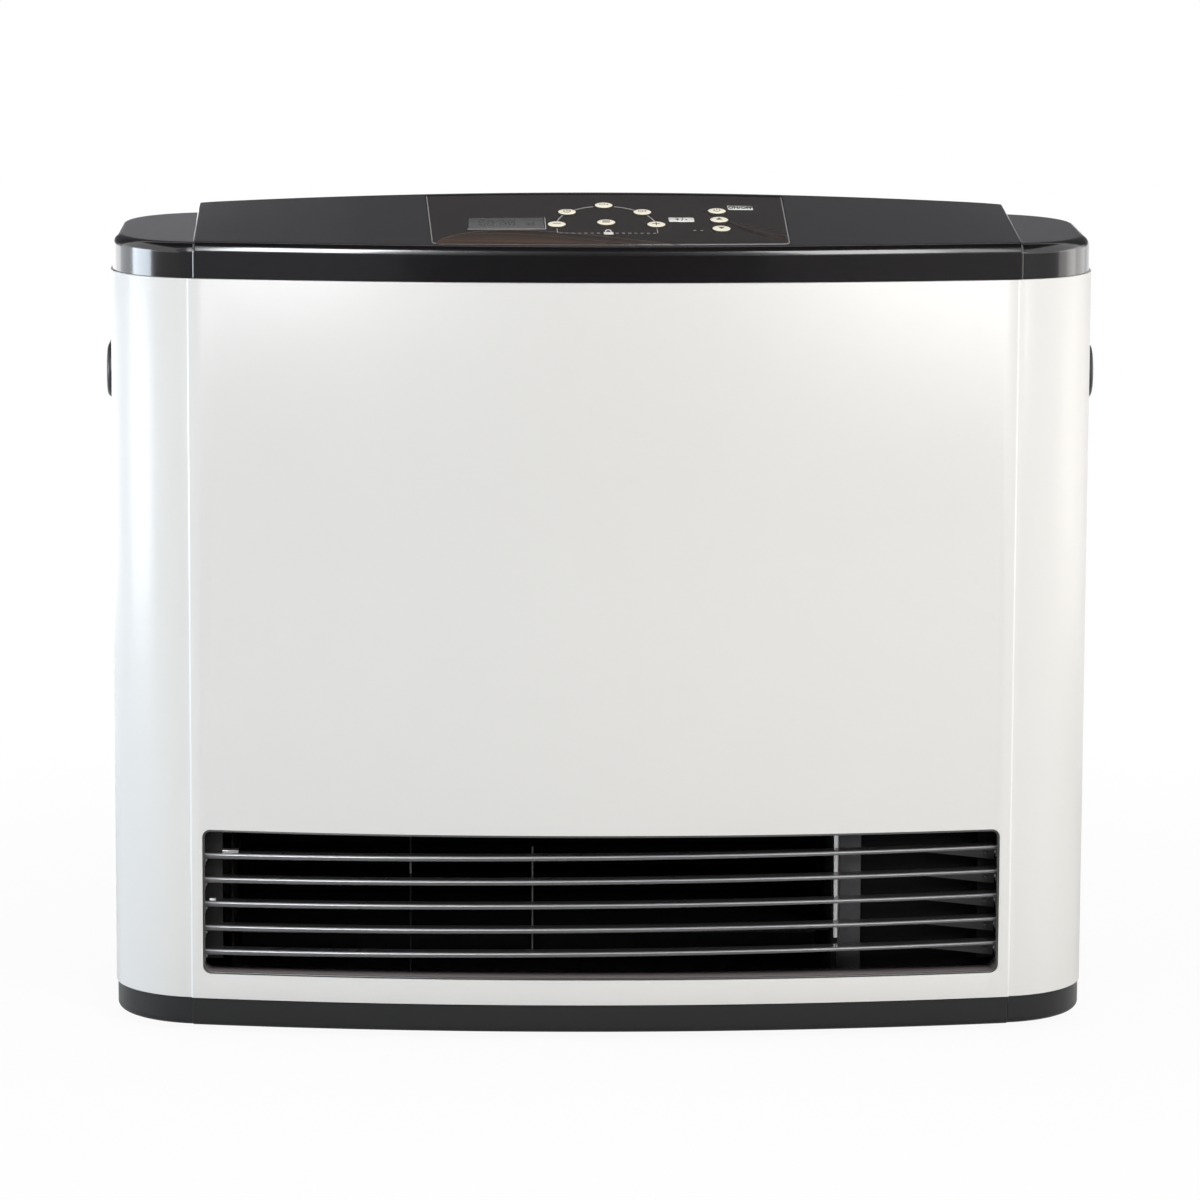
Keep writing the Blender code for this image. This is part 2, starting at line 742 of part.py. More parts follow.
def fascia_stations(shrink):
    """Front and rear places along the fascia, closer at its rounded front corners and flared to the rear."""
    half = FASCIA_HALF_WIDTH - shrink
    radius = FASCIA_CORNER - shrink
    offsets = [-half, -half + 0.1 * radius, -half + 0.4 * radius, -half + radius]
    inner = half - radius
    offsets += [inner * i / 3 for i in (-2, -1, 0, 1, 2)]
    offsets += [half - radius, half - 0.4 * radius, half - 0.1 * radius, half]
    stations = []
    for offset in offsets:
        over = max(0.0, abs(offset) - inner)
        x = FASCIA_CENTRE_X + offset
        corner = radius - math.sqrt(max(0.0, radius ** 2 - over ** 2))
        front = bow_depth(x, CAP_INSET + FASCIA_SETBACK + shrink) + corner
        rear_x = FASCIA_CENTRE_X + offset * (half + FASCIA_FLARE) / half
        stations.append(((x, front), (rear_x, CASE_DEPTH - FASCIA_REAR_MARGIN - shrink)))
    return stations


def fascia_body(name, shrink, low, high, look):
    """A body over the fascia's plan, between two heights from the cap's surface."""
    rings = []
    for front, rear in fascia_stations(shrink):
        rings.append([
            at(*front, hump_z(*front) + low),
            at(*front, hump_z(*front) + high),
            at(*rear, hump_z(*rear) + high),
            at(*rear, hump_z(*rear) + low),
        ])
    return loft(name, rings, look)


def board_corner_places():
    """Where the display board hangs on the cap, one place near each of its corners."""
    reach = FASCIA_HALF_WIDTH - FASCIA_LEDGE / 2
    front = bow_depth(reach, CAP_INSET + FASCIA_SETBACK) + FASCIA_LEDGE * 2
    rear = CASE_DEPTH - FASCIA_REAR_MARGIN - FASCIA_LEDGE * 2
    return [(FASCIA_CENTRE_X + side * reach, depth) for side in (-1, 1) for depth in (front, rear)]


KEY_FOOT = FASCIA_RECESS + FASCIA_THICKNESS + KEY_STEM
BOARD_DROP = KEY_FOOT + KEY_TRAVEL + FIT + SWITCH_HEIGHT


def top_cap():
    cap = loft("top_cap", cap_side_rings(0.0), CHARCOAL_GLOSS)
    join(cap, hump_body("raised_centre", 0.0, None))
    cut(cap, loft("cap_hollow", cap_side_rings(MOULDING), None))
    cut(cap, hump_body("raised_centre_hollow", MOULDING, None))
    for x, depth in board_corner_places():
        low = hump_z(x, depth) - BOARD_DROP + FIT
        high = hump_z(x, depth) - MOULDING * 0.7
        join(cap, rod("board_boss", (x, depth, low), (x, depth, high), BOARD_BOSS_RADIUS, None, 12))
    seat = FASCIA_RECESS + FASCIA_THICKNESS + FIT
    cut(cap, fascia_body("fascia_pocket", 0.0, -seat, MOULDING, None))
    cut(cap, fascia_body("fascia_window", FASCIA_LEDGE, -3 * MOULDING, 0.0, None))
    return cap


# Controls on the cap

def key_places():
    """Name and (x, depth) of each key: five on an arc, one in its middle and three in a column."""
    places = []
    names = ("key_plus", "key_set_off", "key_set_on", "key_clock", "key_minus")
    for name, angle in zip(names, (0, 40, 90, 140, 180)):
        a = math.radians(angle)
        x = ARC_CENTRE[0] + ARC_HALF_WIDTH * math.cos(a)
        places.append((name, (x, ARC_CENTRE[1] + ARC_DEPTH * math.sin(a))))
    places.append(("key_mode", (ARC_CENTRE[0], ARC_CENTRE[1] + CENTRE_KEY_OFFSET)))
    for name, row in (("key_power", 1), ("key_up", 0), ("key_down", -1)):
        places.append((name, (COLUMN_X, COLUMN_DEPTH + row * COLUMN_PITCH)))
    return places


def oval(name, place, width, length, low, high, look, steps=KEY_STEPS):
    """An upright oval body on the cap's slope, between two heights from its surface."""
    x, depth = place
    bm = bmesh.new()
    bmesh.ops.create_cone(bm, cap_ends=True, segments=steps, radius1=0.5, radius2=0.5, depth=1.0)
    bmesh.ops.scale(bm, vec=(width, length, high - low), verts=bm.verts)
    bmesh.ops.translate(bm, vec=(0, 0, (low + high) / 2), verts=bm.verts)
    made = new_object(name, finish_mesh(name, bm), look)
    made.location = at(x, depth, hump_z(x, depth))
    made.rotation_euler = (PANEL_SLOPE, 0, 0)
    return made


def control_fascia():
    low = -FASCIA_RECESS - FASCIA_THICKNESS
    fascia = fascia_body("control_fascia", FIT, low, -FASCIA_RECESS, FASCIA_BLACK)
    for name, place in key_places():
        cut(fascia, oval(
            name + "_hole", place, KEY_WIDTH + 2 * FIT, KEY_LENGTH + 2 * FIT, -MOULDING, MOULDING, None))
    x, depth = WINDOW_CENTRE
    cut(fascia, box(
        "display_opening",
        (x - WINDOW_WIDTH / 2, depth - WINDOW_LENGTH / 2, CAP_TOP - MOULDING),
        (x + WINDOW_WIDTH / 2, depth + WINDOW_LENGTH / 2, CAP_TOP + HUMP_RISE + HUMP_CROWN + MOULDING),
        None,
    ))
    for side in (-0.5, 0.5):
        place = (LAMP_CENTRE[0] + side * LAMP_PITCH, LAMP_CENTRE[1])
        hole = 2 * (LAMP_RADIUS + FIT)
        cut(fascia, oval("lamp_hole", place, hole, hole, -MOULDING, MOULDING, None, 10))
    return fascia


def display_window():
    """A tinted pane in the fascia's opening, flush with it."""
    x, depth = WINDOW_CENTRE
    half_width = WINDOW_WIDTH / 2 - FIT
    half_length = WINDOW_LENGTH / 2 - FIT
    rings = []
    for px in (x - half_width, x + half_width):
        ring = []
        for pd, drop in (
            (depth - half_length, FASCIA_RECESS),
            (depth + half_length, FASCIA_RECESS),
            (depth + half_length, FASCIA_RECESS + FASCIA_THICKNESS),
            (depth - half_length, FASCIA_RECESS + FASCIA_THICKNESS),
        ):
            ring.append(at(px, pd, hump_z(px, pd) - drop))
        rings.append(ring)
    return loft("display_window", rings, WINDOW_GREY)


def indicator_lights():
    """Two light pipes from the display board up to the fascia's face."""
    for name, side in (("indicator_light_left", -0.5), ("indicator_light_right", 0.5)):
        place = (LAMP_CENTRE[0] + side * LAMP_PITCH, LAMP_CENTRE[1])
        width = 2 * LAMP_RADIUS
        oval(name, place, width, width, FIT - BOARD_DROP, -FASCIA_RECESS, LAMP_CLEAR, 10)


def keys():
    """Domed oval keys, each with its origin on its own slide axis."""
    for name, place in key_places():
        x, depth = place
        top = KEY_PROUD - FASCIA_RECESS
        profile = (
            (0.0, top),
            (0.36, top - 0.08 * KEY_PROUD),
            (0.5, top - 0.55 * KEY_PROUD),
            (0.5, -KEY_FOOT),
            (0.0, -KEY_FOOT),
        )
        bm = bmesh.new()
        rings = []
        for share, h in profile[1:-1]:
            ring = []
            for i in range(KEY_STEPS):
                a = 2 * math.pi * i / KEY_STEPS
                ring.append(bm.verts.new((
                    share * KEY_WIDTH * math.cos(a), share * KEY_LENGTH * math.sin(a), h)))
            rings.append(ring)
        for high, low in zip(rings, rings[1:]):
            for i in range(KEY_STEPS):
                j = (i + 1) % KEY_STEPS
                bm.faces.new((high[i], low[i], low[j], high[j]))
        bm.faces.new(rings[0])
        bm.faces.new(list(reversed(rings[-1])))
        made = new_object(name, finish_mesh(name, bm), KEY_CREAM)
        made.location = at(x, depth, hump_z(x, depth))
        made.rotation_euler = (PANEL_SLOPE, 0, 0)


def display_board():
    """A board under the fascia with a switch below each key and the display under its window."""
    reach = FASCIA_HALF_WIDTH + DISPLAY_BOARD_MARGIN
    corners = board_corner_places()
    front = min(d for x, d in corners) - 2 * DISPLAY_BOARD_MARGIN
    rear = max(d for x, d in corners) + 2 * DISPLAY_BOARD_MARGIN
    rings = []
    for i in range(-2, 3):
        x = FASCIA_CENTRE_X + reach * i / 2
        ring = []
        for depth, drop in (
            (front, BOARD_DROP), (rear, BOARD_DROP),
            (rear, BOARD_DROP + BOARD_THICKNESS), (front, BOARD_DROP + BOARD_THICKNESS),
        ):
            ring.append(at(x, depth, hump_z(x, depth) - drop))
        rings.append(ring)
    board = loft("display_board", rings, BOARD_GREEN)
    for name, place in key_places():
        foot = -BOARD_DROP - BOARD_THICKNESS / 2
        join(board, oval(
            name + "_switch", place, SWITCH_SIZE, SWITCH_SIZE, foot, SWITCH_HEIGHT - BOARD_DROP, None, 8))
    x, depth = WINDOW_CENTRE
    half_width = WINDOW_WIDTH / 2 - FIT
    half_length = WINDOW_LENGTH / 2 - FIT
    rings = []
    for px in (x - half_width, x + half_width):
        ring = []
        for pd, drop in (
            (depth - half_length, FASCIA_RECESS + FASCIA_THICKNESS + FIT),
            (depth + half_length, FASCIA_RECESS + FASCIA_THICKNESS + FIT),
            (depth + half_length, BOARD_DROP + BOARD_THICKNESS / 2),
            (depth - half_length, BOARD_DROP + BOARD_THICKNESS / 2),
        ):
            ring.append(at(px, pd, hump_z(px, pd) - drop))
        rings.append(ring)
    return join(board, loft("display_module", rings, None))


# Base and chassis tray

def base_plinth():
    """An open moulded tray with a chamfered lower edge, on four round feet."""
    rings = [
        plan_ring(BASE_INSET + BASE_CHAMFER, BASE_Z),
        plan_ring(BASE_INSET + BASE_CHAMFER * 0.3, BASE_Z + BASE_CHAMFER * 0.3),
        plan_ring(BASE_INSET, BASE_Z + BASE_CHAMFER),
        plan_ring(BASE_INSET, BASE_TOP),
    ]
    base = loft("base_plinth", rings, CHARCOAL_SATIN)
    inside = BASE_INSET + MOULDING
    hollow = loft(
        "plinth_hollow",
        [plan_ring(inside, BASE_Z + MOULDING, 0.0), plan_ring(inside, BASE_TOP + MOULDING, 0.0)],
        None,
    )
    cut(base, hollow)
    front = CORNER_DEPTH
    rear = CASE_DEPTH - FOOT_INSET
    reach = HALF - FOOT_INSET
    spans = [((x, d, 0.0), (x, d, BASE_Z + MOULDING / 2)) for x in (-reach, reach) for d in (front, rear)]
    return add_rods(base, spans, FOOT_RADIUS, 12)


def chassis_tray():
    """A steel tray in the plinth, its rim just under the casing's turned edge."""
    outer = TRAY_RIM_INSET
    tray = loft(
        "chassis_tray",
        [plan_ring(outer, TRAY_Z, 0.0), plan_ring(outer, BASE_TOP, 0.0)],
        ZINC,
    )
    hollow = loft(
        "tray_hollow",
        [plan_ring(outer + SHEET, TRAY_Z + SHEET, 0.0), plan_ring(outer + SHEET, BASE_TOP + SHEET, 0.0)],
        None,
    )
    return cut(tray, hollow)


# Outlet: frame, blades, rivets, brackets and wires

def outlet_loop(outward):
    """Points round the outlet as (x, z), its long sides divided so that they can follow the bow."""
    half = OUTLET_HALF_WIDTH + outward
    radius = OUTLET_CORNER + outward
    top = OUTLET_HEIGHT / 2 + outward
    inner = half - radius
    points = [(x, z) for x, z in arc((inner, top - radius), radius, 0, 90, 3)]
    points += [(inner * i / LOUVRE_STATIONS * 2 - inner, top) for i in range(LOUVRE_STATIONS - 1, 0, -1)]
    points += [(x, z) for x, z in arc((-inner, top - radius), radius, 90, 180, 3)]
    return points + [(-x, -z) for x, z in points]


def louvre_frame():
    """A sheet frame behind the panel: a lip at its back, four walls and two upright wires between them."""
    panel_back = SHEET + FIT
    rows = []
    for outward, behind in ((FRAME_LIP, panel_back), (0.0, panel_back), (0.0, FRAME_DEPTH)):
        rows.append([at(x, bow_depth(x, behind), OUTLET_MIDDLE + z) for x, z in outlet_loop(outward)])
    frame = sheet("louvre_frame", rows, FRAME_SHEET, BLACK_PAINT, ring=True)
    top = OUTLET_TOP + FRAME_SHEET / 2
    bottom = OUTLET_BOTTOM - FRAME_SHEET / 2
    for x in WIRE_PLACES:
        depth = bow_depth(x, BLADE_SETBACK + BLADE_DEPTH) + WIRE_RADIUS + FIT
        add_rods(frame, [((x, depth, bottom), (x, depth, top))], WIRE_RADIUS, 8)
    return frame


BLADE_HALF_LENGTH = OUTLET_HALF_WIDTH - FIT


def blade_places():
    pitch = OUTLET_HEIGHT / (BLADE_COUNT + 1)
    return [OUTLET_MIDDLE + pitch * (i - (BLADE_COUNT - 1) / 2) for i in range(BLADE_COUNT)]


def louvre_blades():
    """Fixed blades bowed like the front, each with a rolled front edge and a riveted tab at each end."""
    hem = BLADE_HEM / 2
    web = BLADE_SHEET / 2
    section = [
        (0.0, 0.0), (hem * 0.7, hem), (hem * 2.2, web), (BLADE_DEPTH, web),
        (BLADE_DEPTH, -web), (hem * 2.2, -web), (hem * 0.7, -hem),
    ]
    for number, z in enumerate(reversed(blade_places()), start=1):
        rings = []
        for i in range(LOUVRE_STATIONS + 1):
            x = BLADE_HALF_LENGTH * (2 * i / LOUVRE_STATIONS - 1)
            rings.append([at(x, bow_depth(x, BLADE_SETBACK + u), z + v) for u, v in section])
        blade = loft(f"louvre_blade_{number}", rings, BLACK_PAINT)
        for side in (-1, 1):
            outer = side * BLADE_HALF_LENGTH
            inner = outer - side * BLADE_SHEET
            rear = bow_depth(abs(inner), BLADE_SETBACK + BLADE_DEPTH) - FIT
            tab = box(
                "blade_tab",
                (min(inner, outer), rear - TAB_DEPTH, z - TAB_HEIGHT),
                (max(inner, outer), rear, z),
                None,
            )
            join(blade, tab)
            head = (inner - side * RIVET_HEIGHT, rear - TAB_DEPTH / 2, z - TAB_HEIGHT * 0.6)
            foot = (inner + side * BLADE_SHEET / 2, rear - TAB_DEPTH / 2, z - TAB_HEIGHT * 0.6)
            join(blade, rod("rivet", foot, head, RIVET_RADIUS, None, 8, RIVET_RADIUS * 0.6))


def louvre_brackets():
    """An angle behind each end of the blades: one leg on the frame's wall and one facing the front."""
    wall = OUTLET_HALF_WIDTH - FIT
    rear = bow_depth(wall, FRAME_DEPTH)
    front = bow_depth(wall, BLADE_SETBACK + BLADE_DEPTH) + 2 * FIT
    low = OUTLET_BOTTOM + OUTLET_CORNER
    high = OUTLET_TOP - OUTLET_CORNER
    path = [(wall, rear), (wall, front), (wall - BRACKET_WIDTH, front)]
    for name, side in (("louvre_bracket_left", -1), ("louvre_bracket_right", 1)):
        rows = [[at(side * x, d, z) for x, d in path] for z in (low, high)]
        sheet(name, rows, FRAME_SHEET, ZINC, side)


# Handles

def handles():
    """A bulged bezel outside each side wall, with a finger pocket that passes through it."""
    for name, side in (("handle_left", -1), ("handle_right", 1)):
        face = HALF + FIT
        length = HANDLE_LENGTH / 2
        height = HANDLE_HEIGHT / 2
        rings = []
        for share, out in ((1.0, 0.0), (1.0, 0.25), (0.93, 0.72), (0.80, 1.0)):
            round_by = height * share
            reach = length - height + round_by
            ends = arc((reach - round_by, 0.0), round_by, -90, 90, 8)
            loop = ends + [(-d, -z) for d, z in ends]
            x = side * (face + HANDLE_PROUD * out)
            rings.append([at(x, HANDLE_DEPTH + d, HANDLE_Z + z) for d, z in loop])
        handle = loft(name, rings, BLACK_PLASTIC)
        inner_length = length - HANDLE_RIM
        inner_height = height - HANDLE_RIM
        deep = side * (HALF - HANDLE_POCKET)
        outer = side * (face + HANDLE_PROUD * 0.3)
        cup_length = inner_length + HANDLE_WALL
        cup_height = inner_height + HANDLE_WALL
        cup = box(
            "handle_cup", (min(deep, outer), HANDLE_DEPTH - cup_length, HANDLE_Z - cup_height),
            (max(deep, outer), HANDLE_DEPTH + cup_length, HANDLE_Z + cup_height), None,
        )
        deep = side * (HALF - HANDLE_POCKET + HANDLE_WALL)
        outer = side * (face + 2 * HANDLE_PROUD)
        pocket = box(
            "finger_pocket",
            (min(deep, outer), HANDLE_DEPTH - inner_length, HANDLE_Z - inner_height),
            (max(deep, outer), HANDLE_DEPTH + inner_length, HANDLE_Z + inner_height),
            None, 2 * HANDLE_WALL,
        )
        join(handle, cup)
        cut(handle, pocket)


# Fan unit

def fan_point(radius, angle):
    a = math.radians(angle)
    return (FAN_AXIS_DEPTH + radius * math.cos(a), FAN_AXIS_Z + radius * math.sin(a))


FAN_PLATE_LEFT = FAN_LEFT_X + SHEET + FIT
FAN_PLATE_RIGHT = FAN_RIGHT_X - FIT


def fan_scroll():
    """The spiral back of the crossflow fan, from the rear panel round under the rotor to the outlet's lip."""
    path = [(REAR_INSIDE - SHEET, SCROLL_REAR_TOP), (REAR_INSIDE - SHEET, SCROLL_REAR_TOP - SCROLL_LIP)]
    start, end, steps = 35.0, -95.0, 9
    for i in range(steps + 1):
        share = i / steps
        gap = SCROLL_START_GAP + (SCROLL_END_GAP - SCROLL_START_GAP) * share
        path.append(fan_point(FAN_RADIUS + gap, start + (end - start) * share))
    path.append((DUCT_DEPTH, DUCT_BOTTOM))
    return bent_sheet("fan_scroll", path, FAN_PLATE_LEFT, FAN_PLATE_RIGHT, SHEET, ZINC, 1.0)


def fan_tongue():
    """The front wall of the fan: the outlet's top lip, back to the rotor, and up to the plenum."""
    tip = fan_point(FAN_RADIUS + TONGUE_GAP, 150)
    path = [(DUCT_DEPTH, DUCT_TOP), (tip[0] - TONGUE_NOSE, tip[1] - SHEET), tip]
    path.append((tip[0] + FIT, tip[1] + TONGUE_NOSE))
    path.append((PLENUM_DEPTH + KNEE_RUN + 5 * FIT, PLENUM_KNEE - KNEE_FALL - 2 * SHEET))
    return bent_sheet("fan_tongue", path, FAN_PLATE_LEFT, FAN_PLATE_RIGHT, SHEET, ZINC, -1.0)


def bore(name, start, end, radius, steps=20):
    return rod(name, start, end, radius, None, steps)


def wall_rear(top):
    """Foot and rear edge of an upright wall, stepped round the casing's turned-in lower edge."""
    foot = [(DUCT_DEPTH, FLOOR_Z), (STEP_DEPTH, FLOOR_Z), (STEP_DEPTH, STEP_Z)]
    return foot + [(REAR_INSIDE, STEP_Z), (REAR_INSIDE, top)]


def wall_front(top):
    """Upper front edge of an upright wall, down the plenum's front and in to the duct."""
    depth = PLENUM_DEPTH - 2 * SHEET
    return [(depth, top), (depth, PLENUM_KNEE), (DUCT_DEPTH, SCROLL_REAR_TOP)]


def left_wall():
    """One plate that closes the fan and the plenum at the left, with the bush hole."""
    outline = wall_rear(PLENUM_TOP) + wall_front(PLENUM_TOP)
    wall = plate("left_wall", outline, FAN_LEFT_X, FAN_LEFT_X + SHEET, ZINC)
    hole = bore(
        "bush_hole", (FAN_LEFT_X - SHEET, FAN_AXIS_DEPTH, FAN_AXIS_Z),
        (FAN_LEFT_X + 3 * SHEET, FAN_AXIS_DEPTH, FAN_AXIS_Z), BUSH_RADIUS * 0.75 + 2 * FIT,
    )
    return cut(wall, hole)


def fan_side_plate():
    """The fan's right end plate, with a folded front edge."""
    outline = wall_rear(SCROLL_REAR_TOP)
    outline.append((DUCT_DEPTH, SCROLL_REAR_TOP))
    wall = plate("fan_side_plate", outline, FAN_RIGHT_X, FAN_RIGHT_X + SHEET, ZINC)
    fold = box(
        "side_plate_fold",
        (FAN_RIGHT_X + SHEET * 0.5, DUCT_DEPTH, FLOOR_Z),
        (DIVIDER_X - FIT, DUCT_DEPTH + SHEET, SCROLL_REAR_TOP), None,
    )
    hole = bore(
        "shaft_hole", (FAN_RIGHT_X - SHEET, FAN_AXIS_DEPTH, FAN_AXIS_Z),
        (FAN_RIGHT_X + 3 * SHEET, FAN_AXIS_DEPTH, FAN_AXIS_Z), SHAFT_RADIUS * 3,
    )
    return cut(join(wall, fold), hole)


def divider_wall():
    """The upright wall between the hot side and the controls, folded to the right at its front and foot."""
    outline = wall_rear(DIVIDER_TOP) + wall_front(DIVIDER_TOP)
    wall = plate("divider_wall", outline, DIVIDER_X, DIVIDER_X + SHEET, ZINC)
    fold = box(
        "divider_fold",
        (DIVIDER_X + SHEET * 0.5, DUCT_DEPTH, FLOOR_Z),
        (DIVIDER_X + DIVIDER_FLANGE, DUCT_DEPTH + SHEET, SCROLL_REAR_TOP), None,
    )
    foot = box(
        "divider_foot",
        (DIVIDER_X + SHEET * 0.5, DUCT_DEPTH, FLOOR_Z),
        (DIVIDER_X + DIVIDER_FLANGE, STEP_DEPTH, FLOOR_Z + SHEET), None,
    )
    shaft_hole = bore(
        "divider_shaft_hole", (DIVIDER_X - SHEET, FAN_AXIS_DEPTH, FAN_AXIS_Z),
        (DIVIDER_X + 3 * SHEET, FAN_AXIS_DEPTH, FAN_AXIS_Z), SHAFT_RADIUS * 3,
    )
    depth, z = branch_place()
    branch_hole = bore(
        "branch_hole", (DIVIDER_X - SHEET, depth, z), (DIVIDER_X + 3 * SHEET, depth, z),
        BRANCH_RADIUS + 2 * FIT,
    )
    return cut(join(wall, fold, foot), shaft_hole, branch_hole)


def control_baffle():
    """A flat dark plate behind the louvres at the right, in front of the controls."""
    start = DIVIDER_X + SHEET + FIT
    front = DUCT_DEPTH + SHEET + FIT
    low = FLOOR_Z + SHEET + FIT
    end = OUTLET_HALF_WIDTH + FRAME_DEPTH / 2
    return box(
        "control_baffle", (start, front, low), (end, front + SHEET, SCROLL_REAR_TOP), BLACK_PAINT)


ROTOR_LEFT = FAN_PLATE_LEFT + FAN_END_CLEARANCE
ROTOR_RIGHT = FAN_PLATE_RIGHT - FAN_END_CLEARANCE


def fan_rotor():
    """Crossflow rotor: three discs on the shaft joined by curved blades, its origin on the fan's axis."""
    inner = SHAFT_RADIUS + FIT
    bm = bmesh.new()
    length = ROTOR_RIGHT - ROTOR_LEFT
    middle = (ROTOR_LEFT + ROTOR_RIGHT) / 2
    steps = FAN_BLADES
    rim = FAN_RADIUS + 2 * FIT
    for start in (-length / 2, -FAN_DISC / 2, length / 2 - FAN_DISC):
        loops = []
        for radius, x in ((inner, start), (rim, start), (rim, start + FAN_DISC), (inner, start + FAN_DISC)):
            loop = []
            for i in range(steps):
                a = 2 * math.pi * i / steps
                loop.append(bm.verts.new((x, radius * math.cos(a), radius * math.sin(a))))
            loops.append(loop)
        for low, high in zip(loops, loops[1:] + loops[:1]):
            for i in range(steps):
                j = (i + 1) % steps
                bm.faces.new((low[i], low[j], high[j], high[i]))
    rotor = new_object("fan_rotor", finish_mesh("fan_rotor", bm), ALUMINIUM)
    rotor.location = at(middle, FAN_AXIS_DEPTH, FAN_AXIS_Z)

    bm = bmesh.new()
    half = length / 2 - FAN_DISC / 2
    chord = FAN_RADIUS - FAN_INNER_RADIUS
    for n in range(FAN_BLADES):
        outline = []
        for side in (0.5, -0.5):
            shares = (0.0, 0.5, 1.0) if side > 0 else (1.0, 0.5, 0.0)
            for share in shares:
                radius = FAN_INNER_RADIUS + chord * share
                lean = 0.16 * (share - 0.5) ** 2 - 0.13 * share
                a = 2 * math.pi * (n + 0.5) / FAN_BLADES + lean + side * FAN_BLADE_SHEET / radius
                outline.append((radius * math.cos(a), radius * math.sin(a)))
        ends = [[bm.verts.new((x, y, z)) for y, z in outline] for x in (-half, half)]
        count = len(outline)
        for i in range(count):
            j = (i + 1) % count
            bm.faces.new((ends[0][i], ends[0][j], ends[1][j], ends[1][i]))
        bm.faces.new(list(reversed(ends[0])))
        bm.faces.new(ends[1])
    blades = new_object("rotor_blades", finish_mesh("rotor_blades", bm), None)
    blades.location = rotor.location
    return join(rotor, blades)


def fan_shaft():
    """A plain shaft from the bush through the rotor to the motor, its origin on the fan's axis."""
    start = FAN_LEFT_X - BUSH_LENGTH * 0.5
    end = DIVIDER_X + SHEET + MOTOR_LENGTH * 0.5
    return rod(
        "fan_shaft", (start, FAN_AXIS_DEPTH, FAN_AXIS_Z), (end, FAN_AXIS_DEPTH, FAN_AXIS_Z),
        SHAFT_RADIUS, STEEL, 20,
    )


def fan_bush():
    """Flanged bush in the left wall, its flange and longer end outside."""
    inner = SHAFT_RADIUS + 1.3 * FIT
    neck = BUSH_RADIUS * 0.75
    start = FAN_LEFT_X - BUSH_LENGTH
    seat = BUSH_LENGTH - FIT
    end = FAN_PLATE_LEFT + FAN_END_CLEARANCE / 2 - start
    profile = [
        (inner, 0.0), (neck, 0.0), (neck, seat - SHEET), (BUSH_RADIUS, seat - SHEET),
        (BUSH_RADIUS, seat), (neck, seat), (neck, end), (inner, end),
    ]
    start = (start, FAN_AXIS_DEPTH, FAN_AXIS_Z)
    return turned("fan_bush", profile, start, (1, 0, 0), BRASS, 12, ring=True)


def fan_motor():
    """Flanged motor on the divider, bored for the shaft."""
    inner = SHAFT_RADIUS + 1.3 * FIT
    flange = MOTOR_FLANGE_SHEET
    boss = MOTOR_RADIUS * 0.3
    profile = [
        (inner, 0.0), (MOTOR_FLANGE, 0.0), (MOTOR_FLANGE, flange), (MOTOR_RADIUS, flange),
        (MOTOR_RADIUS, MOTOR_LENGTH * 0.9), (MOTOR_RADIUS * 0.85, MOTOR_LENGTH),
        (boss, MOTOR_LENGTH), (boss, MOTOR_LENGTH * 1.12), (inner, MOTOR_LENGTH * 1.12),
    ]
    start = (DIVIDER_X + SHEET + FIT, FAN_AXIS_DEPTH, FAN_AXIS_Z)
    return turned("fan_motor", profile, start, (1, 0, 0), IRON, 16, ring=True)


# Plenum, heat shield and combustion chamber

def plenum_shroud():
    """Front and top of the plenum, from the fan's tongue up and back to the rear panel."""
    path = [
        (PLENUM_DEPTH + KNEE_RUN, PLENUM_KNEE - KNEE_FALL), (PLENUM_DEPTH, PLENUM_KNEE),
        (PLENUM_DEPTH, PLENUM_TOP - SHEET), (REAR_INSIDE, PLENUM_TOP - SHEET),
    ]
    return bent_sheet(
        "plenum_shroud", path, FAN_LEFT_X + SHEET + FIT, DIVIDER_X - FIT, SHEET, ALUMINISED, -1.0)


def heat_shield():
    """A flat shield on four bosses in front of the plenum."""
    back = PLENUM_DEPTH - SHEET - FIT
    front = back - SHIELD_GAP
    left = FAN_LEFT_X + SHIELD_GAP
    right = DIVIDER_X - SHIELD_GAP
    bottom = PLENUM_KNEE + SHIELD_GAP
    top = PLENUM_TOP - SHIELD_GAP
    shield = box("heat_shield", (left, front, bottom), (right, front + SHEET, top), ALUMINISED)
    for x in (left + SHIELD_BOSS_INSET, right - SHIELD_BOSS_INSET):
        for z in (bottom + SHIELD_BOSS_INSET, top - SHIELD_BOSS_INSET):
            boss = rod("shield_boss", (x, front + SHEET / 2, z), (x, back, z), SHIELD_BOSS_RADIUS, None, 10)
            join(shield, boss)
    return shield


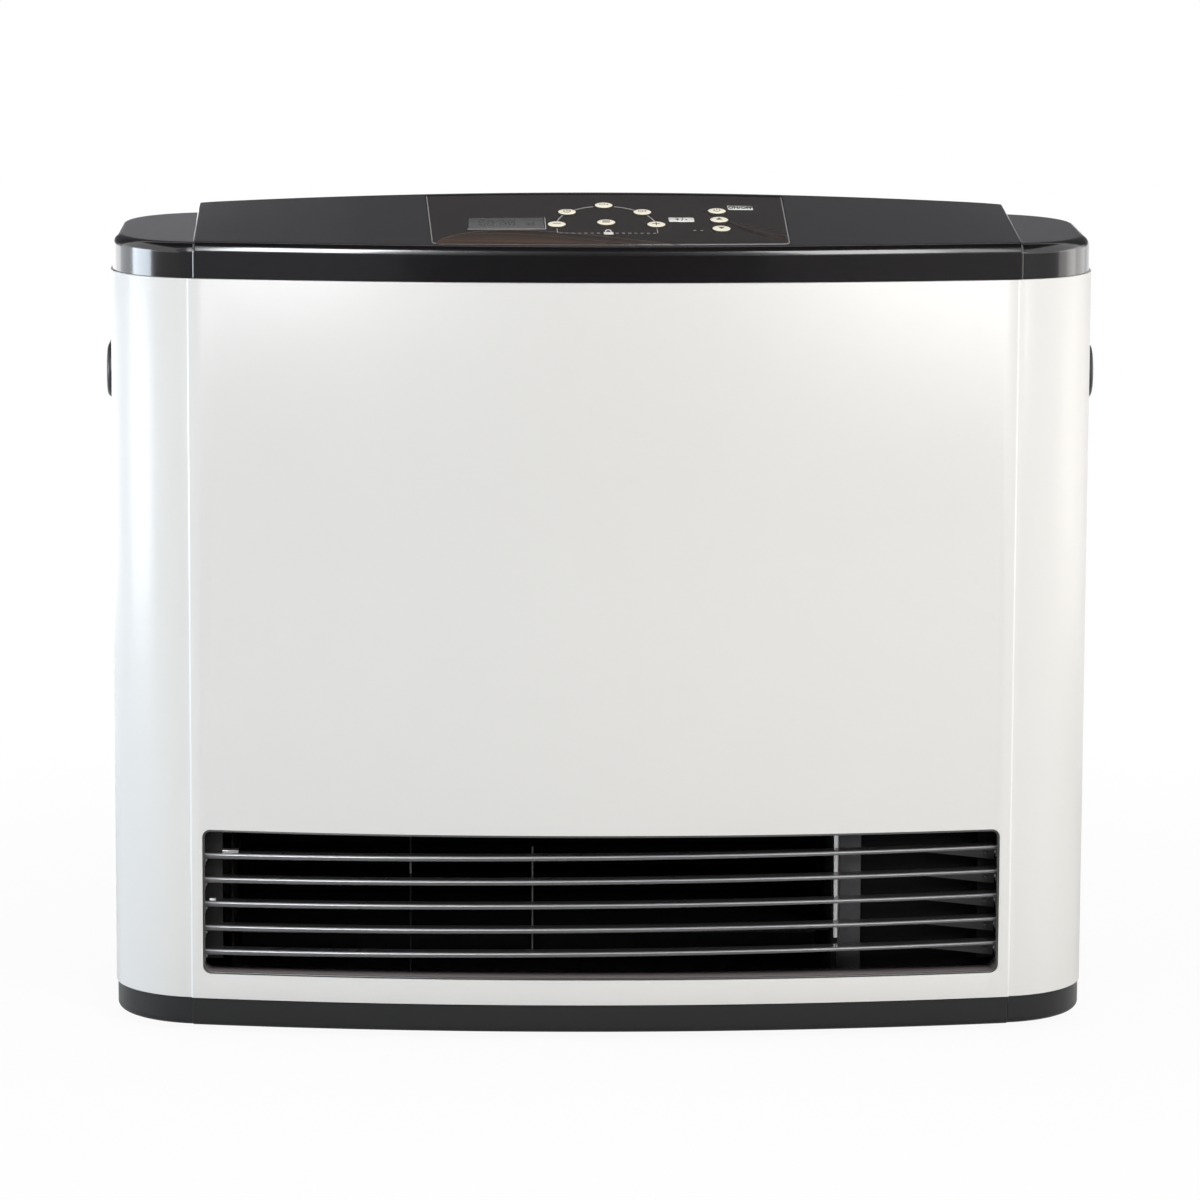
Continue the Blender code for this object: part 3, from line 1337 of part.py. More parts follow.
def combustion_chamber():
    """A sheet box, open below, with gas slots in its top and two rails that hold it to the plenum's front."""
    top = CHAMBER_TOP
    chamber = box(
        "combustion_chamber", (CHAMBER_LEFT, CHAMBER_FRONT, CHAMBER_BOTTOM), (CHAMBER_RIGHT, CHAMBER_REAR, top),
        ALUMINISED,
    )
    rail_front = PLENUM_DEPTH + FIT
    half = CHAMBER_RAIL_WIDTH / 2
    for x in (CHAMBER_LEFT + CHAMBER_RAIL_INSET, CHAMBER_RIGHT - CHAMBER_RAIL_INSET):
        rail = box(
            "chamber_rail", (x - half, rail_front, CHAMBER_BOTTOM + CHAMBER_RAIL_END),
            (x + half, CHAMBER_FRONT + SHEET / 2, top - CHAMBER_RAIL_END), None,
        )
        join(chamber, rail)
    inside = box(
        "chamber_hollow", (CHAMBER_LEFT + SHEET, CHAMBER_FRONT + SHEET, CHAMBER_BOTTOM - CHAMBER_RAIL_END),
        (CHAMBER_RIGHT - SHEET, CHAMBER_REAR - SHEET, top - SHEET), None,
    )
    cut(chamber, inside)
    pitch = (CHAMBER_REAR - CHAMBER_FRONT) / (GAS_SLOTS + 1)
    half = GAS_SLOT_WIDTH / 2
    for i in range(GAS_SLOTS):
        depth = CHAMBER_FRONT + pitch * (i + 1)
        slot = box(
            "gas_slot", (CHAMBER_LEFT + GAS_SLOT_END, depth - half, top - half),
            (CHAMBER_RIGHT - GAS_SLOT_END, depth + half, top + half), None,
        )
        cut(chamber, slot)
    for depth in bar_depths():
        start = (CHAMBER_RIGHT - PROBE_RISE, depth, PROBE_Z)
        end = (CHAMBER_RIGHT + PROBE_RISE, depth, PROBE_Z)
        cut(chamber, bore("probe_hole", start, end, PROBE_RADIUS + 2 * FIT, 10))
    return chamber


CHAMBER_MIDDLE = (CHAMBER_FRONT + CHAMBER_REAR) / 2
PROBE_Z = CHAMBER_BOTTOM + PROBE_RISE
BURNER_TOP = CHAMBER_BOTTOM + BURNER_STAND
BURNER_Z = BURNER_TOP - BURNER_BAR_HEIGHT
BURNER_SPREAD = CHAMBER_REAR - CHAMBER_FRONT - 2 * BURNER_SIDE_GAP - BURNER_BAR_WIDTH
BURNER_PITCH = BURNER_SPREAD / (BURNER_BARS - 1)
VENTURI_Z = BURNER_Z + VENTURI_RADIUS + SHEET


def bar_depths():
    return [CHAMBER_MIDDLE + BURNER_PITCH * (i - (BURNER_BARS - 1) / 2) for i in range(BURNER_BARS)]


def branch_place():
    return (CHAMBER_MIDDLE, VENTURI_Z)


def burner():
    """Three round-topped burner bars on two straps under the chamber's edge, each with its own venturi."""
    left = CHAMBER_LEFT + BURNER_END_MARGIN
    right = CHAMBER_RIGHT - BURNER_END_MARGIN
    half = BURNER_BAR_WIDTH / 2
    made = None
    straps = []
    strap_top = CHAMBER_BOTTOM - FIT
    reach = STRAP_WIDTH / 2
    for x in (left + STRAP_INSET, right - STRAP_INSET):
        straps.append(box(
            "burner_strap", (x - reach, CHAMBER_FRONT, strap_top - 2 * SHEET),
            (x + reach, CHAMBER_REAR, strap_top), None,
        ))
    for number, depth in enumerate(bar_depths()):
        outline = [(depth - half, BURNER_Z), (depth + half, BURNER_Z)]
        outline += arc((depth, BURNER_TOP - half), half, 0, 180, 4)
        if made is None:
            made = plate("burner", outline, left, right, ALUMINISED)
        else:
            join(made, plate("burner_bar", outline, left, right, None))
        venturi = rod(
            "venturi", (right - 2 * SHEET, depth, VENTURI_Z),
            (CHAMBER_RIGHT + VENTURI_OVERHANG, depth, VENTURI_Z),
            VENTURI_RADIUS * 0.6, None, 10, VENTURI_RADIUS,
        )
        join(made, venturi)
    return join(made, *straps)


def gas_manifold():
    """A pipe across the burner's right end with an injector at each venturi and a branch to the valve."""
    depths = bar_depths()
    pipe = rod(
        "gas_manifold",
        (MANIFOLD_X, depths[0] - MANIFOLD_END, VENTURI_Z), (MANIFOLD_X, depths[-1] + MANIFOLD_END, VENTURI_Z),
        MANIFOLD_RADIUS, BRASS, 12,
    )
    for depth in depths:
        nozzle = rod(
            "injector", (CHAMBER_RIGHT + VENTURI_OVERHANG + 2 * SHEET, depth, VENTURI_Z),
            (MANIFOLD_X, depth, VENTURI_Z), INJECTOR_RADIUS * 0.5, None, 8, INJECTOR_RADIUS,
        )
        join(pipe, nozzle)
    depth, z = branch_place()
    branch = rod("branch", (MANIFOLD_X, depth, z), (DIVIDER_X + SHEET, depth, z), BRANCH_RADIUS, None, 12)
    return join(pipe, branch)


VALVE_X = DIVIDER_X + SHEET + FIT
VALVE_BOTTOM = VENTURI_Z - VALVE_HEIGHT / 2


def gas_valve():
    """Valve block on the divider with two solenoids on top."""
    low = (VALVE_X, CHAMBER_MIDDLE - VALVE_DEPTH / 2, VALVE_BOTTOM)
    high = (VALVE_X + VALVE_LENGTH, CHAMBER_MIDDLE + VALVE_DEPTH / 2, VALVE_BOTTOM + VALVE_HEIGHT)
    block = box("gas_valve", low, high, ALUMINIUM, VALVE_EDGE)
    for share in (0.25, 0.75):
        x = VALVE_X + VALVE_LENGTH * share
        z = VALVE_BOTTOM + VALVE_HEIGHT
        join(block, rod(
            "solenoid", (x, CHAMBER_MIDDLE, z - VALVE_EDGE), (x, CHAMBER_MIDDLE, z + SOLENOID_HEIGHT),
            SOLENOID_RADIUS, None, 14,
        ))
    return block


def gas_inlet_pipe():
    """From under the valve down and back to the union."""
    turn = GAS_PIPE_BEND
    centre = (CHAMBER_MIDDLE + turn, GAS_INLET_Z + turn)
    points = [(GAS_PIPE_X, CHAMBER_MIDDLE, VALVE_BOTTOM - FIT)]
    points += [(GAS_PIPE_X, d, z) for d, z in arc(centre, turn, 180, 270, 6)]
    points.append((GAS_PIPE_X, UNION_START - FIT, GAS_INLET_Z))
    return tube("gas_inlet_pipe", points, GAS_PIPE_RADIUS, BRASS)


UNION_START = CASE_DEPTH - UNION_INSIDE


def gas_inlet_union():
    """Brass union: a nut inside, a neck through the rear panel and a threaded end outside."""
    length = CASE_DEPTH + UNION_PROUD - UNION_START
    nut = REAR_INSIDE - UNION_START
    bore_radius = GAS_PIPE_RADIUS * 0.7
    profile = [
        (bore_radius, 0.0), (UNION_HEX, 0.0), (UNION_HEX, nut), (UNION_THREAD, nut),
        (UNION_THREAD, length), (bore_radius, length),
    ]
    place = (GAS_PIPE_X, UNION_START, GAS_INLET_Z)
    return turned("gas_inlet_union", profile, place, (0, 1, 0), BRASS, 14, ring=True)


def flame_probes():
    """Spark electrode, flame sensor and oxygen sensor on one plate, through the chamber's right wall."""
    depths = bar_depths()
    start = CHAMBER_RIGHT + FIT
    tip = CHAMBER_RIGHT - PROBE_REACH
    margin = 3 * PROBE_RADIUS
    carrier = box(
        "flame_probes", (start, depths[0] - margin, PROBE_Z - margin * 0.6),
        (start + SHEET, depths[-1] + margin, PROBE_Z + margin * 0.6), CERAMIC,
    )
    bodies = [((tip, d, PROBE_Z), (start + PROBE_REACH / 2, d, PROBE_Z)) for d in depths]
    wires = [((tip - PROBE_REACH, d, PROBE_Z), (tip + PROBE_RADIUS, d, PROBE_Z)) for d in depths]
    add_rods(carrier, bodies, PROBE_RADIUS, 10)
    return add_rods(carrier, wires, PROBE_WIRE, 6)


def overheat_switch():
    """Disc thermostat on top of the plenum."""
    flange = THERMOSTAT_HEIGHT / 3
    body = THERMOSTAT_RADIUS * 0.75
    profile = [
        (0.0, 0.0), (THERMOSTAT_RADIUS, 0.0), (THERMOSTAT_RADIUS, flange),
        (body, flange), (body, THERMOSTAT_HEIGHT), (0.0, THERMOSTAT_HEIGHT),
    ]
    place = (0.0, FAN_AXIS_DEPTH, PLENUM_TOP + FIT)
    return turned("overheat_switch", profile, place, (0, 0, 1), CERAMIC, 16)


# Electrical pieces at the right

def control_board():
    """Board on four posts on the divider, with its relays, capacitor and connectors."""
    left = DIVIDER_X + SHEET + FIT
    face = left + BOARD_POST + BOARD_THICKNESS
    front = CHAMBER_MIDDLE - BOARD_LENGTH / 2
    rear = CHAMBER_MIDDLE + BOARD_LENGTH / 2
    low = VALVE_BOTTOM + VALVE_HEIGHT + SOLENOID_HEIGHT + CONTROL_BOARD_GAP
    high = CASE_TOP - CONTROL_BOARD_DROP
    board = box("control_board", (left + BOARD_POST, front, low), (face, rear, high), BOARD_GREEN)
    inset = 2 * BOARD_POST_RADIUS
    for d in (front + inset, rear - inset):
        for z in (low + inset, high - inset):
            end = left + BOARD_POST + BOARD_THICKNESS / 2
            join(board, rod("board_post", (left, d, z), (end, d, z), BOARD_POST_RADIUS, None, 8))
    relay = (RELAY_HEIGHT * 1.1, RELAY_HEIGHT, RELAY_HEIGHT)
    pieces = (
        ("relay_1", 0.19, 0.21, relay),
        ("relay_2", 0.43, 0.21, relay),
        ("connector", 0.57, 0.75, (CONNECTOR_LENGTH, CONNECTOR_LENGTH / 6, CONNECTOR_LENGTH / 6)),
        ("processor", 0.48, 0.50, (PROCESSOR_SIZE, PROCESSOR_SIZE, PROCESSOR_SIZE / 8)),
    )
    for name, depth_share, height_share, (length, height, out) in pieces:
        d = front + BOARD_LENGTH * depth_share
        z = low + (high - low) * height_share
        join(board, box(
            name, (face - BOARD_THICKNESS / 2, d - length / 2, z - height / 2),
            (face + out, d + length / 2, z + height / 2), None,
        ))
    d = front + BOARD_LENGTH * 0.81
    z = low + (high - low) * 0.25
    start = face - BOARD_THICKNESS / 2
    end = face + CAPACITOR_HEIGHT
    return join(board, rod("capacitor", (start, d, z), (end, d, z), CAPACITOR_RADIUS, None, 12))


def transformer():
    """Laminated core with its winding, on the tray at the front right."""
    length, depth, height = TRANSFORMER_SIZE
    x = DIVIDER_X + DIVIDER_FLANGE + TRANSFORMER_GAP
    front = DUCT_DEPTH + TRANSFORMER_SETBACK
    bulge = depth / 7
    core = box("transformer", (x, front, FLOOR_Z), (x + length, front + depth, FLOOR_Z + height), IRON)
    winding = box(
        "winding", (x + length * 0.2, front - bulge, FLOOR_Z + height * 0.2),
        (x + length * 0.8, front + depth + bulge, FLOOR_Z + height * 0.8), None,
    )
    return join(core, winding)


def room_thermistor():
    """Bead in a clip on the rear panel's inside, beside the intake."""
    z = (WINDOW_BOTTOM + WINDOW_TOP) / 2
    x = WINDOW_OUTER_EDGE + THERMISTOR_GAP
    half = THERMISTOR_SIZE / 2
    front = REAR_INSIDE - THERMISTOR_SIZE * 0.7
    clip = box("room_thermistor", (x - half, front, z - half), (x + half, REAR_INSIDE, z + half), BLACK_PLASTIC)
    bead = rod("bead", (x, front - half, z), (x, REAR_INSIDE - half, z), THERMISTOR_SIZE / 5, None, 8)
    return join(clip, bead)


def cord_gland():
    """Round strain relief in the rear panel, bored for the cord."""
    neck = GLAND_RADIUS * 0.8
    inner = GLAND_RADIUS * 0.45
    inside = CASE_DEPTH - GLAND_NECK
    length = CASE_DEPTH + FIT - inside
    profile = [
        (inner, 0.0), (neck, 0.0), (neck, length), (GLAND_RADIUS, length),
        (neck, length + GLAND_HEAD), (inner, length + GLAND_HEAD),
    ]
    place = (GLAND_X, inside, GAS_INLET_Z)
    return turned("cord_gland", profile, place, (0, 1, 0), BLACK_PLASTIC, 14, ring=True)


# Filters, rails, spacers and screws at the rear

FILTER_FRONT = CASE_DEPTH + 2 * FIT
FILTER_BOTTOM = WINDOW_BOTTOM - FILTER_RIM
FILTER_TOP = WINDOW_TOP + FILTER_RIM


def filters():
    """A barred frame over each intake window with its net behind the bars."""
    for name, side in (("left", -1), ("right", 1)):
        left, right = window_edges(side)
        outer_left = left - FILTER_RIM
        outer_right = right + FILTER_RIM
        rear = FILTER_FRONT + FILTER_DEPTH
        frame = box(
            f"filter_frame_{name}", (outer_left, FILTER_FRONT, FILTER_BOTTOM), (outer_right, rear, FILTER_TOP),
            CHARCOAL_SATIN, SHEET,
        )
        columns, rows = FILTER_BARS
        bars_depth = FILTER_FRONT + FILTER_MESH + 2 * FIT
        inner_left = outer_left + FILTER_RIM
        inner_width = outer_right - outer_left - 2 * FILTER_RIM
        inner_height = FILTER_TOP - FILTER_BOTTOM - 2 * FILTER_RIM
        pane = box(
            "net_recess",
            (inner_left, FILTER_FRONT - SHEET, FILTER_BOTTOM + FILTER_RIM),
            (inner_left + inner_width, bars_depth, FILTER_TOP - FILTER_RIM), None,
        )
        cut(frame, pane)
        width = (inner_width - columns * FILTER_BAR) / (columns + 1)
        height = (inner_height - rows * FILTER_BAR) / (rows + 1)
        holes = bmesh.new()
        for i in range(columns + 1):
            for k in range(rows + 1):
                x = inner_left + width / 2 + i * (width + FILTER_BAR)
                z = FILTER_BOTTOM + FILTER_RIM + height / 2 + k * (height + FILTER_BAR)
                place = Matrix.Translation(at(x, (bars_depth + rear) / 2, z))
                cube = bmesh.ops.create_cube(holes, size=1.0)
                bmesh.ops.scale(holes, vec=(width, FILTER_DEPTH * 2, height), verts=cube["verts"])
                bmesh.ops.transform(holes, matrix=place, verts=cube["verts"])
        cut(frame, new_object("filter_holes", finish_mesh("filter_holes", holes), None))
        low = (inner_left + FIT, FILTER_FRONT, FILTER_BOTTOM + FILTER_RIM + FIT)
        high = (inner_left + inner_width - FIT, FILTER_FRONT + FILTER_MESH, FILTER_TOP - FILTER_RIM - FIT)
        box(f"filter_mesh_{name}", low, high, MESH_GREY)


def filter_rails():
    """One carrier for both filters: a channel at each side, a shared one in the middle and a ledge below."""
    front = CASE_DEPTH + FIT
    rear = FILTER_FRONT + FILTER_DEPTH + FIT
    lip = FILTER_RIM * 0.5
    low = FILTER_BOTTOM - FIT
    reach = window_edges(1)[1] + FILTER_RIM + FIT + RAIL_SHEET
    foot = low - RAIL_SHEET
    rails = box("filter_rails", (-reach, front, foot), (reach, rear + RAIL_SHEET, FILTER_TOP), GREY_PAINT)
    for side in (-1, 1):
        left, right = window_edges(side)
        left -= FILTER_RIM + FIT
        right += FILTER_RIM + FIT
        high = FILTER_TOP + RAIL_SHEET
        cut(rails, box("filter_slot", (left, front - RAIL_SHEET, low), (right, rear, high), None))
        cut(rails, box(
            "rail_opening", (left + lip, front - RAIL_SHEET, low + lip),
            (right - lip, rear + 2 * RAIL_SHEET, FILTER_TOP + RAIL_SHEET), None,
        ))
    middle = WINDOW_INNER_EDGE - FILTER_RIM - FIT - RAIL_SHEET
    return cut(rails, box(
        "middle_hollow", (-middle, front - RAIL_SHEET, low), (middle, rear, FILTER_TOP + RAIL_SHEET), None))


def wall_spacers():
    """Two hollow blocks that keep the heater off the wall."""
    start = CASE_DEPTH + FIT
    rear = CASE_DEPTH + WALL_GAP
    half_width = SPACER_WIDTH / 2
    half_height = SPACER_HEIGHT / 2
    inner_width = half_width - 2 * SPACER_WALL
    inner_height = half_height - 2 * SPACER_WALL
    for name, x in (("wall_spacer_left", -SPACER_X), ("wall_spacer_right", SPACER_X)):
        low = (x - half_width, start, SPACER_Z - half_height)
        high = (x + half_width, rear, SPACER_Z + half_height)
        spacer = box(name, low, high, BLACK_PLASTIC, SPACER_WALL)
        low = (x - inner_width, start - WALL_GAP, SPACER_Z - inner_height)
        high = (x + inner_width, rear - SPACER_WALL, SPACER_Z + inner_height)
        cut(spacer, box("spacer_hollow", low, high, None))


front_panel()
rear_panel()
top_cap()
control_fascia()
display_window()
indicator_lights()
keys()
display_board()
base_plinth()
chassis_tray()
louvre_frame()
louvre_blades()
louvre_brackets()
handles()
fan_scroll()
fan_tongue()
left_wall()
fan_side_plate()
divider_wall()
control_baffle()
fan_rotor()
fan_shaft()
fan_bush()
fan_motor()
plenum_shroud()
heat_shield()
combustion_chamber()
burner()
gas_manifold()
gas_valve()
gas_inlet_pipe()
gas_inlet_union()
flame_probes()
overheat_switch()
control_board()
transformer()
room_thermistor()
cord_gland()
filters()
filter_rails()
wall_spacers()
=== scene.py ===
"""Looks of a flueless gas heater, laid out as an add-on: one operator for each group of pieces and one stage.

Metres, +Z up, the front faces -Y. Places are worked out as (x, depth, z), where depth runs back from the side
wraps' front. Every piece keeps its place in its mesh and rides on the body that the model gives it.
"""

import math

import bmesh
import bpy
from mathutils import Matrix, Vector


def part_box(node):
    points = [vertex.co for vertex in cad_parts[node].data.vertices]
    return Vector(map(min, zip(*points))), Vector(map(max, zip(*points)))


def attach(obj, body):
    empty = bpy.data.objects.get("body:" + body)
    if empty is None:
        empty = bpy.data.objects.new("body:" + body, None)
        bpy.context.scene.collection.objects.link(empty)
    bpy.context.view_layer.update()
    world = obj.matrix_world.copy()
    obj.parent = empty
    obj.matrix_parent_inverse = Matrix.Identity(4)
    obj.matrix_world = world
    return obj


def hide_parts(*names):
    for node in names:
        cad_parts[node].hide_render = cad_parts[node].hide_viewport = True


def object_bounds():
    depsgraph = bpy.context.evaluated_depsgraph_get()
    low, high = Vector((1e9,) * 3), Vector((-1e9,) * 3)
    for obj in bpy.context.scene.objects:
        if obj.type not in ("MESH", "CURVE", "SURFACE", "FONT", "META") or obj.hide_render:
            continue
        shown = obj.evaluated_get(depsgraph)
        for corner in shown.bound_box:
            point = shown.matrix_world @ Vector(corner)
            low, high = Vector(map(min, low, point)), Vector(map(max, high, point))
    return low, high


bl_info = {
    "name": "Gas heater looks",
    "version": (1, 0, 0),
    "blender": (4, 5, 0),
    "location": "3D View > Sidebar > Heater",
    "description": "Builds the finished surfaces, controls, louvres and stage of a flueless gas heater",
    "category": "Object",
}

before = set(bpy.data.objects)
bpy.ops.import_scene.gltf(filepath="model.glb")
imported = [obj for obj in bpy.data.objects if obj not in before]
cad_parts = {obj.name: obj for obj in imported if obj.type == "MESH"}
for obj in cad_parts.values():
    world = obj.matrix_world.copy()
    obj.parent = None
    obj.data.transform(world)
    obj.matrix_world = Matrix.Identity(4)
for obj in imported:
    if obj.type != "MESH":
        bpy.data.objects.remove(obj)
MODEL_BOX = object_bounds()
PANEL_LOW, PANEL_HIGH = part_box("front_panel")
CAP_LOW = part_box("top_cap")[0]
BASE_LOW, BASE_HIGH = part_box("base_plinth")
KEY_NAMES = (
    "key_plus", "key_set_off", "key_set_on", "key_clock", "key_minus",
    "key_mode", "key_power", "key_up", "key_down",
)
INDICATOR_NAMES = ("indicator_light_left", "indicator_light_right")
LOOKS = {}


# Sizes and colours

def length(name, description, default, low=0.0, high=2.0):
    return bpy.props.FloatProperty(
        name=name, description=description, default=default, min=low, max=high, unit="LENGTH", precision=5)


def share(name, description, default):
    return bpy.props.FloatProperty(
        name=name, description=description, default=default, min=0.0, max=1.0, subtype="FACTOR", precision=3)


def colour(name, description, default):
    return bpy.props.FloatVectorProperty(
        name=name, description=description, default=default, size=3, min=0.0, max=1.0, subtype="COLOR")


def count(name, description, default):
    return bpy.props.IntProperty(name=name, description=description, default=default, min=1, max=400)


class HeaterCasing(bpy.types.PropertyGroup):
    """Sizes of the casing, the cap and the base."""

    width: length("Width", "Width of the casing from side to side", PANEL_HIGH[0] - PANEL_LOW[0])
    depth: length("Depth", "Depth of the casing without the bow", 0.2345)
    bow_radius: length("Bow radius", "Radius of the bowed front, seen from above", 1.574)
    corner_radius: length("Corner radius", "Radius of the front corners", 0.065)
    rear_radius: length("Rear radius", "Radius of the rear corners", 0.070)
    crease_step: length("Crease step", "How far the centre band stands proud of the corners", 0.0015)
    crease_ramp: length("Crease ramp", "Width of the slope at each crease", 0.0014)
    sheet: length("Sheet", "Thickness of the painted sheet", 0.0012)
    sheet_return: length("Return", "Width of the turned-in edges", 0.010)
    seam_depth: length("Seam", "Depth of the seam between the front and rear panels", 0.162)
    cap_inset: length("Cap inset", "How far the cap stands inside the casing's face", 0.0015)
    cap_nose: length("Cap nose", "Radius of the cap's upper edge", 0.007)
    cap_wall: length("Cap wall", "Thickness of the cap's moulding", 0.003)
    cap_height: length("Cap height", "Height of the cap's flat part", 0.0234)
    hump_rise: length("Rise", "Climb of the cap's raised centre at its ends", 0.0065)
    hump_crown: length("Crown", "Extra climb in the middle", 0.0076)
    hump_shift: length("Hump shift", "How far the raised centre sits to the right", 0.0030)
    hump_flare: length("Hump flare", "How much wider each end of the raised centre is at the rear", 0.0045)
    hump_edge: length("Hump edge", "Radius of the raised centre's side edges", 0.0020)
    foot_height: length("Foot height", "Height of the feet under the plinth", 0.005)
    foot_margin: length("Foot margin", "From the casing's side or back to the middle of a foot", 0.045)
    base_inset: length("Base inset", "How far the plinth stands inside the casing's face", 0.001)
    base_chamfer: length("Base chamfer", "Height of the plinth's lower chamfer", 0.004)
    base_wall: length("Base wall", "Thickness of the plinth's moulding", 0.003)
    grip_length: length("Grip opening length", "Half the length of a grip's opening", 0.0283)
    grip_height: length("Grip opening height", "Half the height of a grip's opening", 0.0138)
    intake_low: length("Intake low", "Height of the intakes' lower edge", 0.205)
    intake_high: length("Intake high", "Height of the intakes' upper edge", 0.425)
    screw_reach: length("Screw reach", "From the middle to the outer screws of the rear panel", 0.241)
    screw_margin: length("Screw margin", "From the rear panel's edges to its screws", 0.018)
    fit: length("Clearance", "Gap between neighbours", 0.0003)


class HeaterControls(bpy.types.PropertyGroup):
    """Sizes of the control panel."""

    centre: length("Centre", "Middle of the control panel from side to side", 0.0045, -0.5)
    half_width: length("Half width", "Half the panel's width at its front edge", 0.1192)
    flare: length("Flare", "How much wider each end is at the rear", 0.0047)
    setback: length("Setback", "From the cap's front to the panel", 0.0092)
    rear_margin: length("Rear margin", "From the panel to the back of the heater", 0.010)
    corner: length("Corner", "Radius of the panel's front corners", 0.007)
    recess: length("Recess", "How far the panel lies under the cap's surface", 0.0004)
    thickness: length("Thickness", "Thickness of the panel", 0.0012)
    key_width: length("Key width", "Width of a key across the heater", 0.0128)
    key_length: length("Key length", "Length of a key from front to rear", 0.024)
    key_proud: length("Key height", "How far a key stands above the cap's surface", 0.0013)
    key_foot: length("Key foot", "How deep a key reaches under the cap's surface", 0.0061)
    window_x: length("Window place", "Middle of the display window", -0.0643, -0.5)
    window_depth: length("Window depth", "Middle of the display window from the front", 0.1015)
    window_width: length("Window width", "Width of the display window", 0.0515)
    window_length: length("Window length", "Length of the display window from front to rear", 0.046)


class HeaterOutlet(bpy.types.PropertyGroup):
    """Sizes of the warm air outlet and its louvres."""

    half_width: length("Half width", "Half the width of the opening", 0.26831)
    height: length("Height", "Height of the opening", 0.099)
    rise: length("Rise", "From the casing's lower edge to the opening", 0.017)
    corner: length("Corner", "Radius of the opening's corners", 0.0055)
    frame_depth: length("Frame depth", "Depth of the frame behind the opening", 0.030)
    frame_lip: length("Frame lip", "Width of the frame's lip behind the sheet", 0.006)
    bead: length("Bead", "Radius of the rolled bead inside the opening", 0.0008)
    blades: count("Blades", "Number of louvre blades", 5)
    blade_setback: length("Blade setback", "From the front face to the blades", 0.005)
    blade_depth: length("Blade depth", "Depth of a blade", 0.017)
    hem: length("Hem", "Thickness of a blade's rolled front edge", 0.0032)
    blade_sheet: length("Blade sheet", "Thickness of a blade", 0.0012)
    blade_taper: share("Blade taper", "How much thinner the blades look at their right-hand ends", 0.22)
    blade_lean: share("Blade lean", "Rise of the blades to the right, as a share of their length", 0.0105)
    gusset_length: length("Gusset length", "Length of the stiffener under a blade's right-hand end", 0.066)
    gusset_drop: length("Gusset drop", "Height of the stiffener at its outer end", 0.0098)


class HeaterFan(bpy.types.PropertyGroup):
    """Sizes of the crossflow rotor."""

    blades: count("Blades", "Number of blades round the rotor", 20)
    outer: length("Outer radius", "Radius at the blades' outer edges", 0.032)
    inner: length("Inner radius", "Radius at the blades' inner edges", 0.0235)
    sheet: length("Blade sheet", "Thickness of a blade", 0.0010)
    disc: length("Disc", "Thickness of a disc", 0.002)
    disc_radius: length("Disc radius", "Radius of a disc", 0.0326)
    disc_bore: length("Disc bore", "Radius of the hole for the shaft", 0.0033)


class HeaterColours(bpy.types.PropertyGroup):
    """Colours of the finishes."""

    enamel: colour("Enamel", "White paint of the front panel", (0.79, 0.78, 0.76))
    rear_paint: colour("Rear paint", "Light grey paint of the rear panel", (0.55, 0.55, 0.54))
    charcoal: colour("Charcoal", "Glossy moulded cap", (0.0062, 0.0050, 0.0060))
    plinth: colour("Plinth", "Satin moulded plinth", (0.0078, 0.0078, 0.0084))
    panel: colour("Panel", "Dark film of the control panel", (0.022, 0.017, 0.0155))
    key: colour("Key", "Cream keys", (0.93, 0.88, 0.73))
    key_rim: colour("Key rim", "Gold rim of the keys", (0.60, 0.40, 0.14))
    bronze: colour("Bronze", "Sweeping bands on the control panel", (0.060, 0.036, 0.026))
    louvre: colour("Louvre", "Black paint of the blades and the frame", (0.105, 0.105, 0.107))
    zinc: colour("Zinc", "Galvanised sheet", (0.55, 0.56, 0.57))


SETTINGS = (
    ("heater_casing", HeaterCasing),
    ("heater_controls", HeaterControls),
    ("heater_outlet", HeaterOutlet),
    ("heater_fan", HeaterFan),
    ("heater_colours", HeaterColours),
)


# Places

BAND_STEPS, RAMP_STEPS, CORNER_STEPS, REAR_STEPS = 30, 5, 20, 18


def front_y():
    """World Y of depth zero, the side wraps' front."""
    return PANEL_LOW[1] + bpy.context.scene.heater_casing.crease_step


def at(x, depth, z):
    """A point in the world from a place in the heater."""
    return Vector((x, front_y() + depth, z))


def middle_of(name):
    """Middle of a solid as a place, and half its size."""
    low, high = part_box(name)
    x, y, z = ((a + b) / 2 for a, b in zip(low, high))
    return (x, y - front_y(), z), tuple((b - a) / 2 for a, b in zip(low, high))


class Levels:
    """Heights and angles that follow from the casing's sizes."""

    def __init__(self, casing):
        self.half = casing.width / 2
        self.case_low = PANEL_LOW[2]
        self.case_top = PANEL_HIGH[2]
        self.cap_low = CAP_LOW[2]
        self.base_low = BASE_LOW[2] + casing.foot_height + casing.fit
        self.base_top = BASE_HIGH[2]
        self.cap_top = self.cap_low + casing.cap_height
        inner_bow = casing.bow_radius - casing.corner_radius
        self.corner_x = self.half - casing.corner_radius
        self.crease_angle = math.asin(self.corner_x / inner_bow)
        self.crease_x = casing.bow_radius * math.sin(self.crease_angle)
        self.corner_depth = casing.bow_radius - inner_bow * math.cos(self.crease_angle)
        self.rear_x = self.half - casing.rear_radius
        self.rear_depth = casing.depth - casing.rear_radius
        self.slope = math.atan2(casing.hump_rise + casing.hump_crown, casing.depth)


def casing_and_levels():
    casing = bpy.context.scene.heater_casing
    return casing, Levels(casing)


def arc(centre, radius, start, end, steps):
    """Points on an arc in a plane, angles in degrees."""
    angles = [math.radians(start + (end - start) * i / steps) for i in range(steps + 1)]
    return [(centre[0] + radius * math.cos(a), centre[1] + radius * math.sin(a)) for a in angles]


def circle(steps):
    """Cosine and sine at even steps round a circle."""
    return [(math.cos(math.tau * i / steps), math.sin(math.tau * i / steps)) for i in range(steps)]


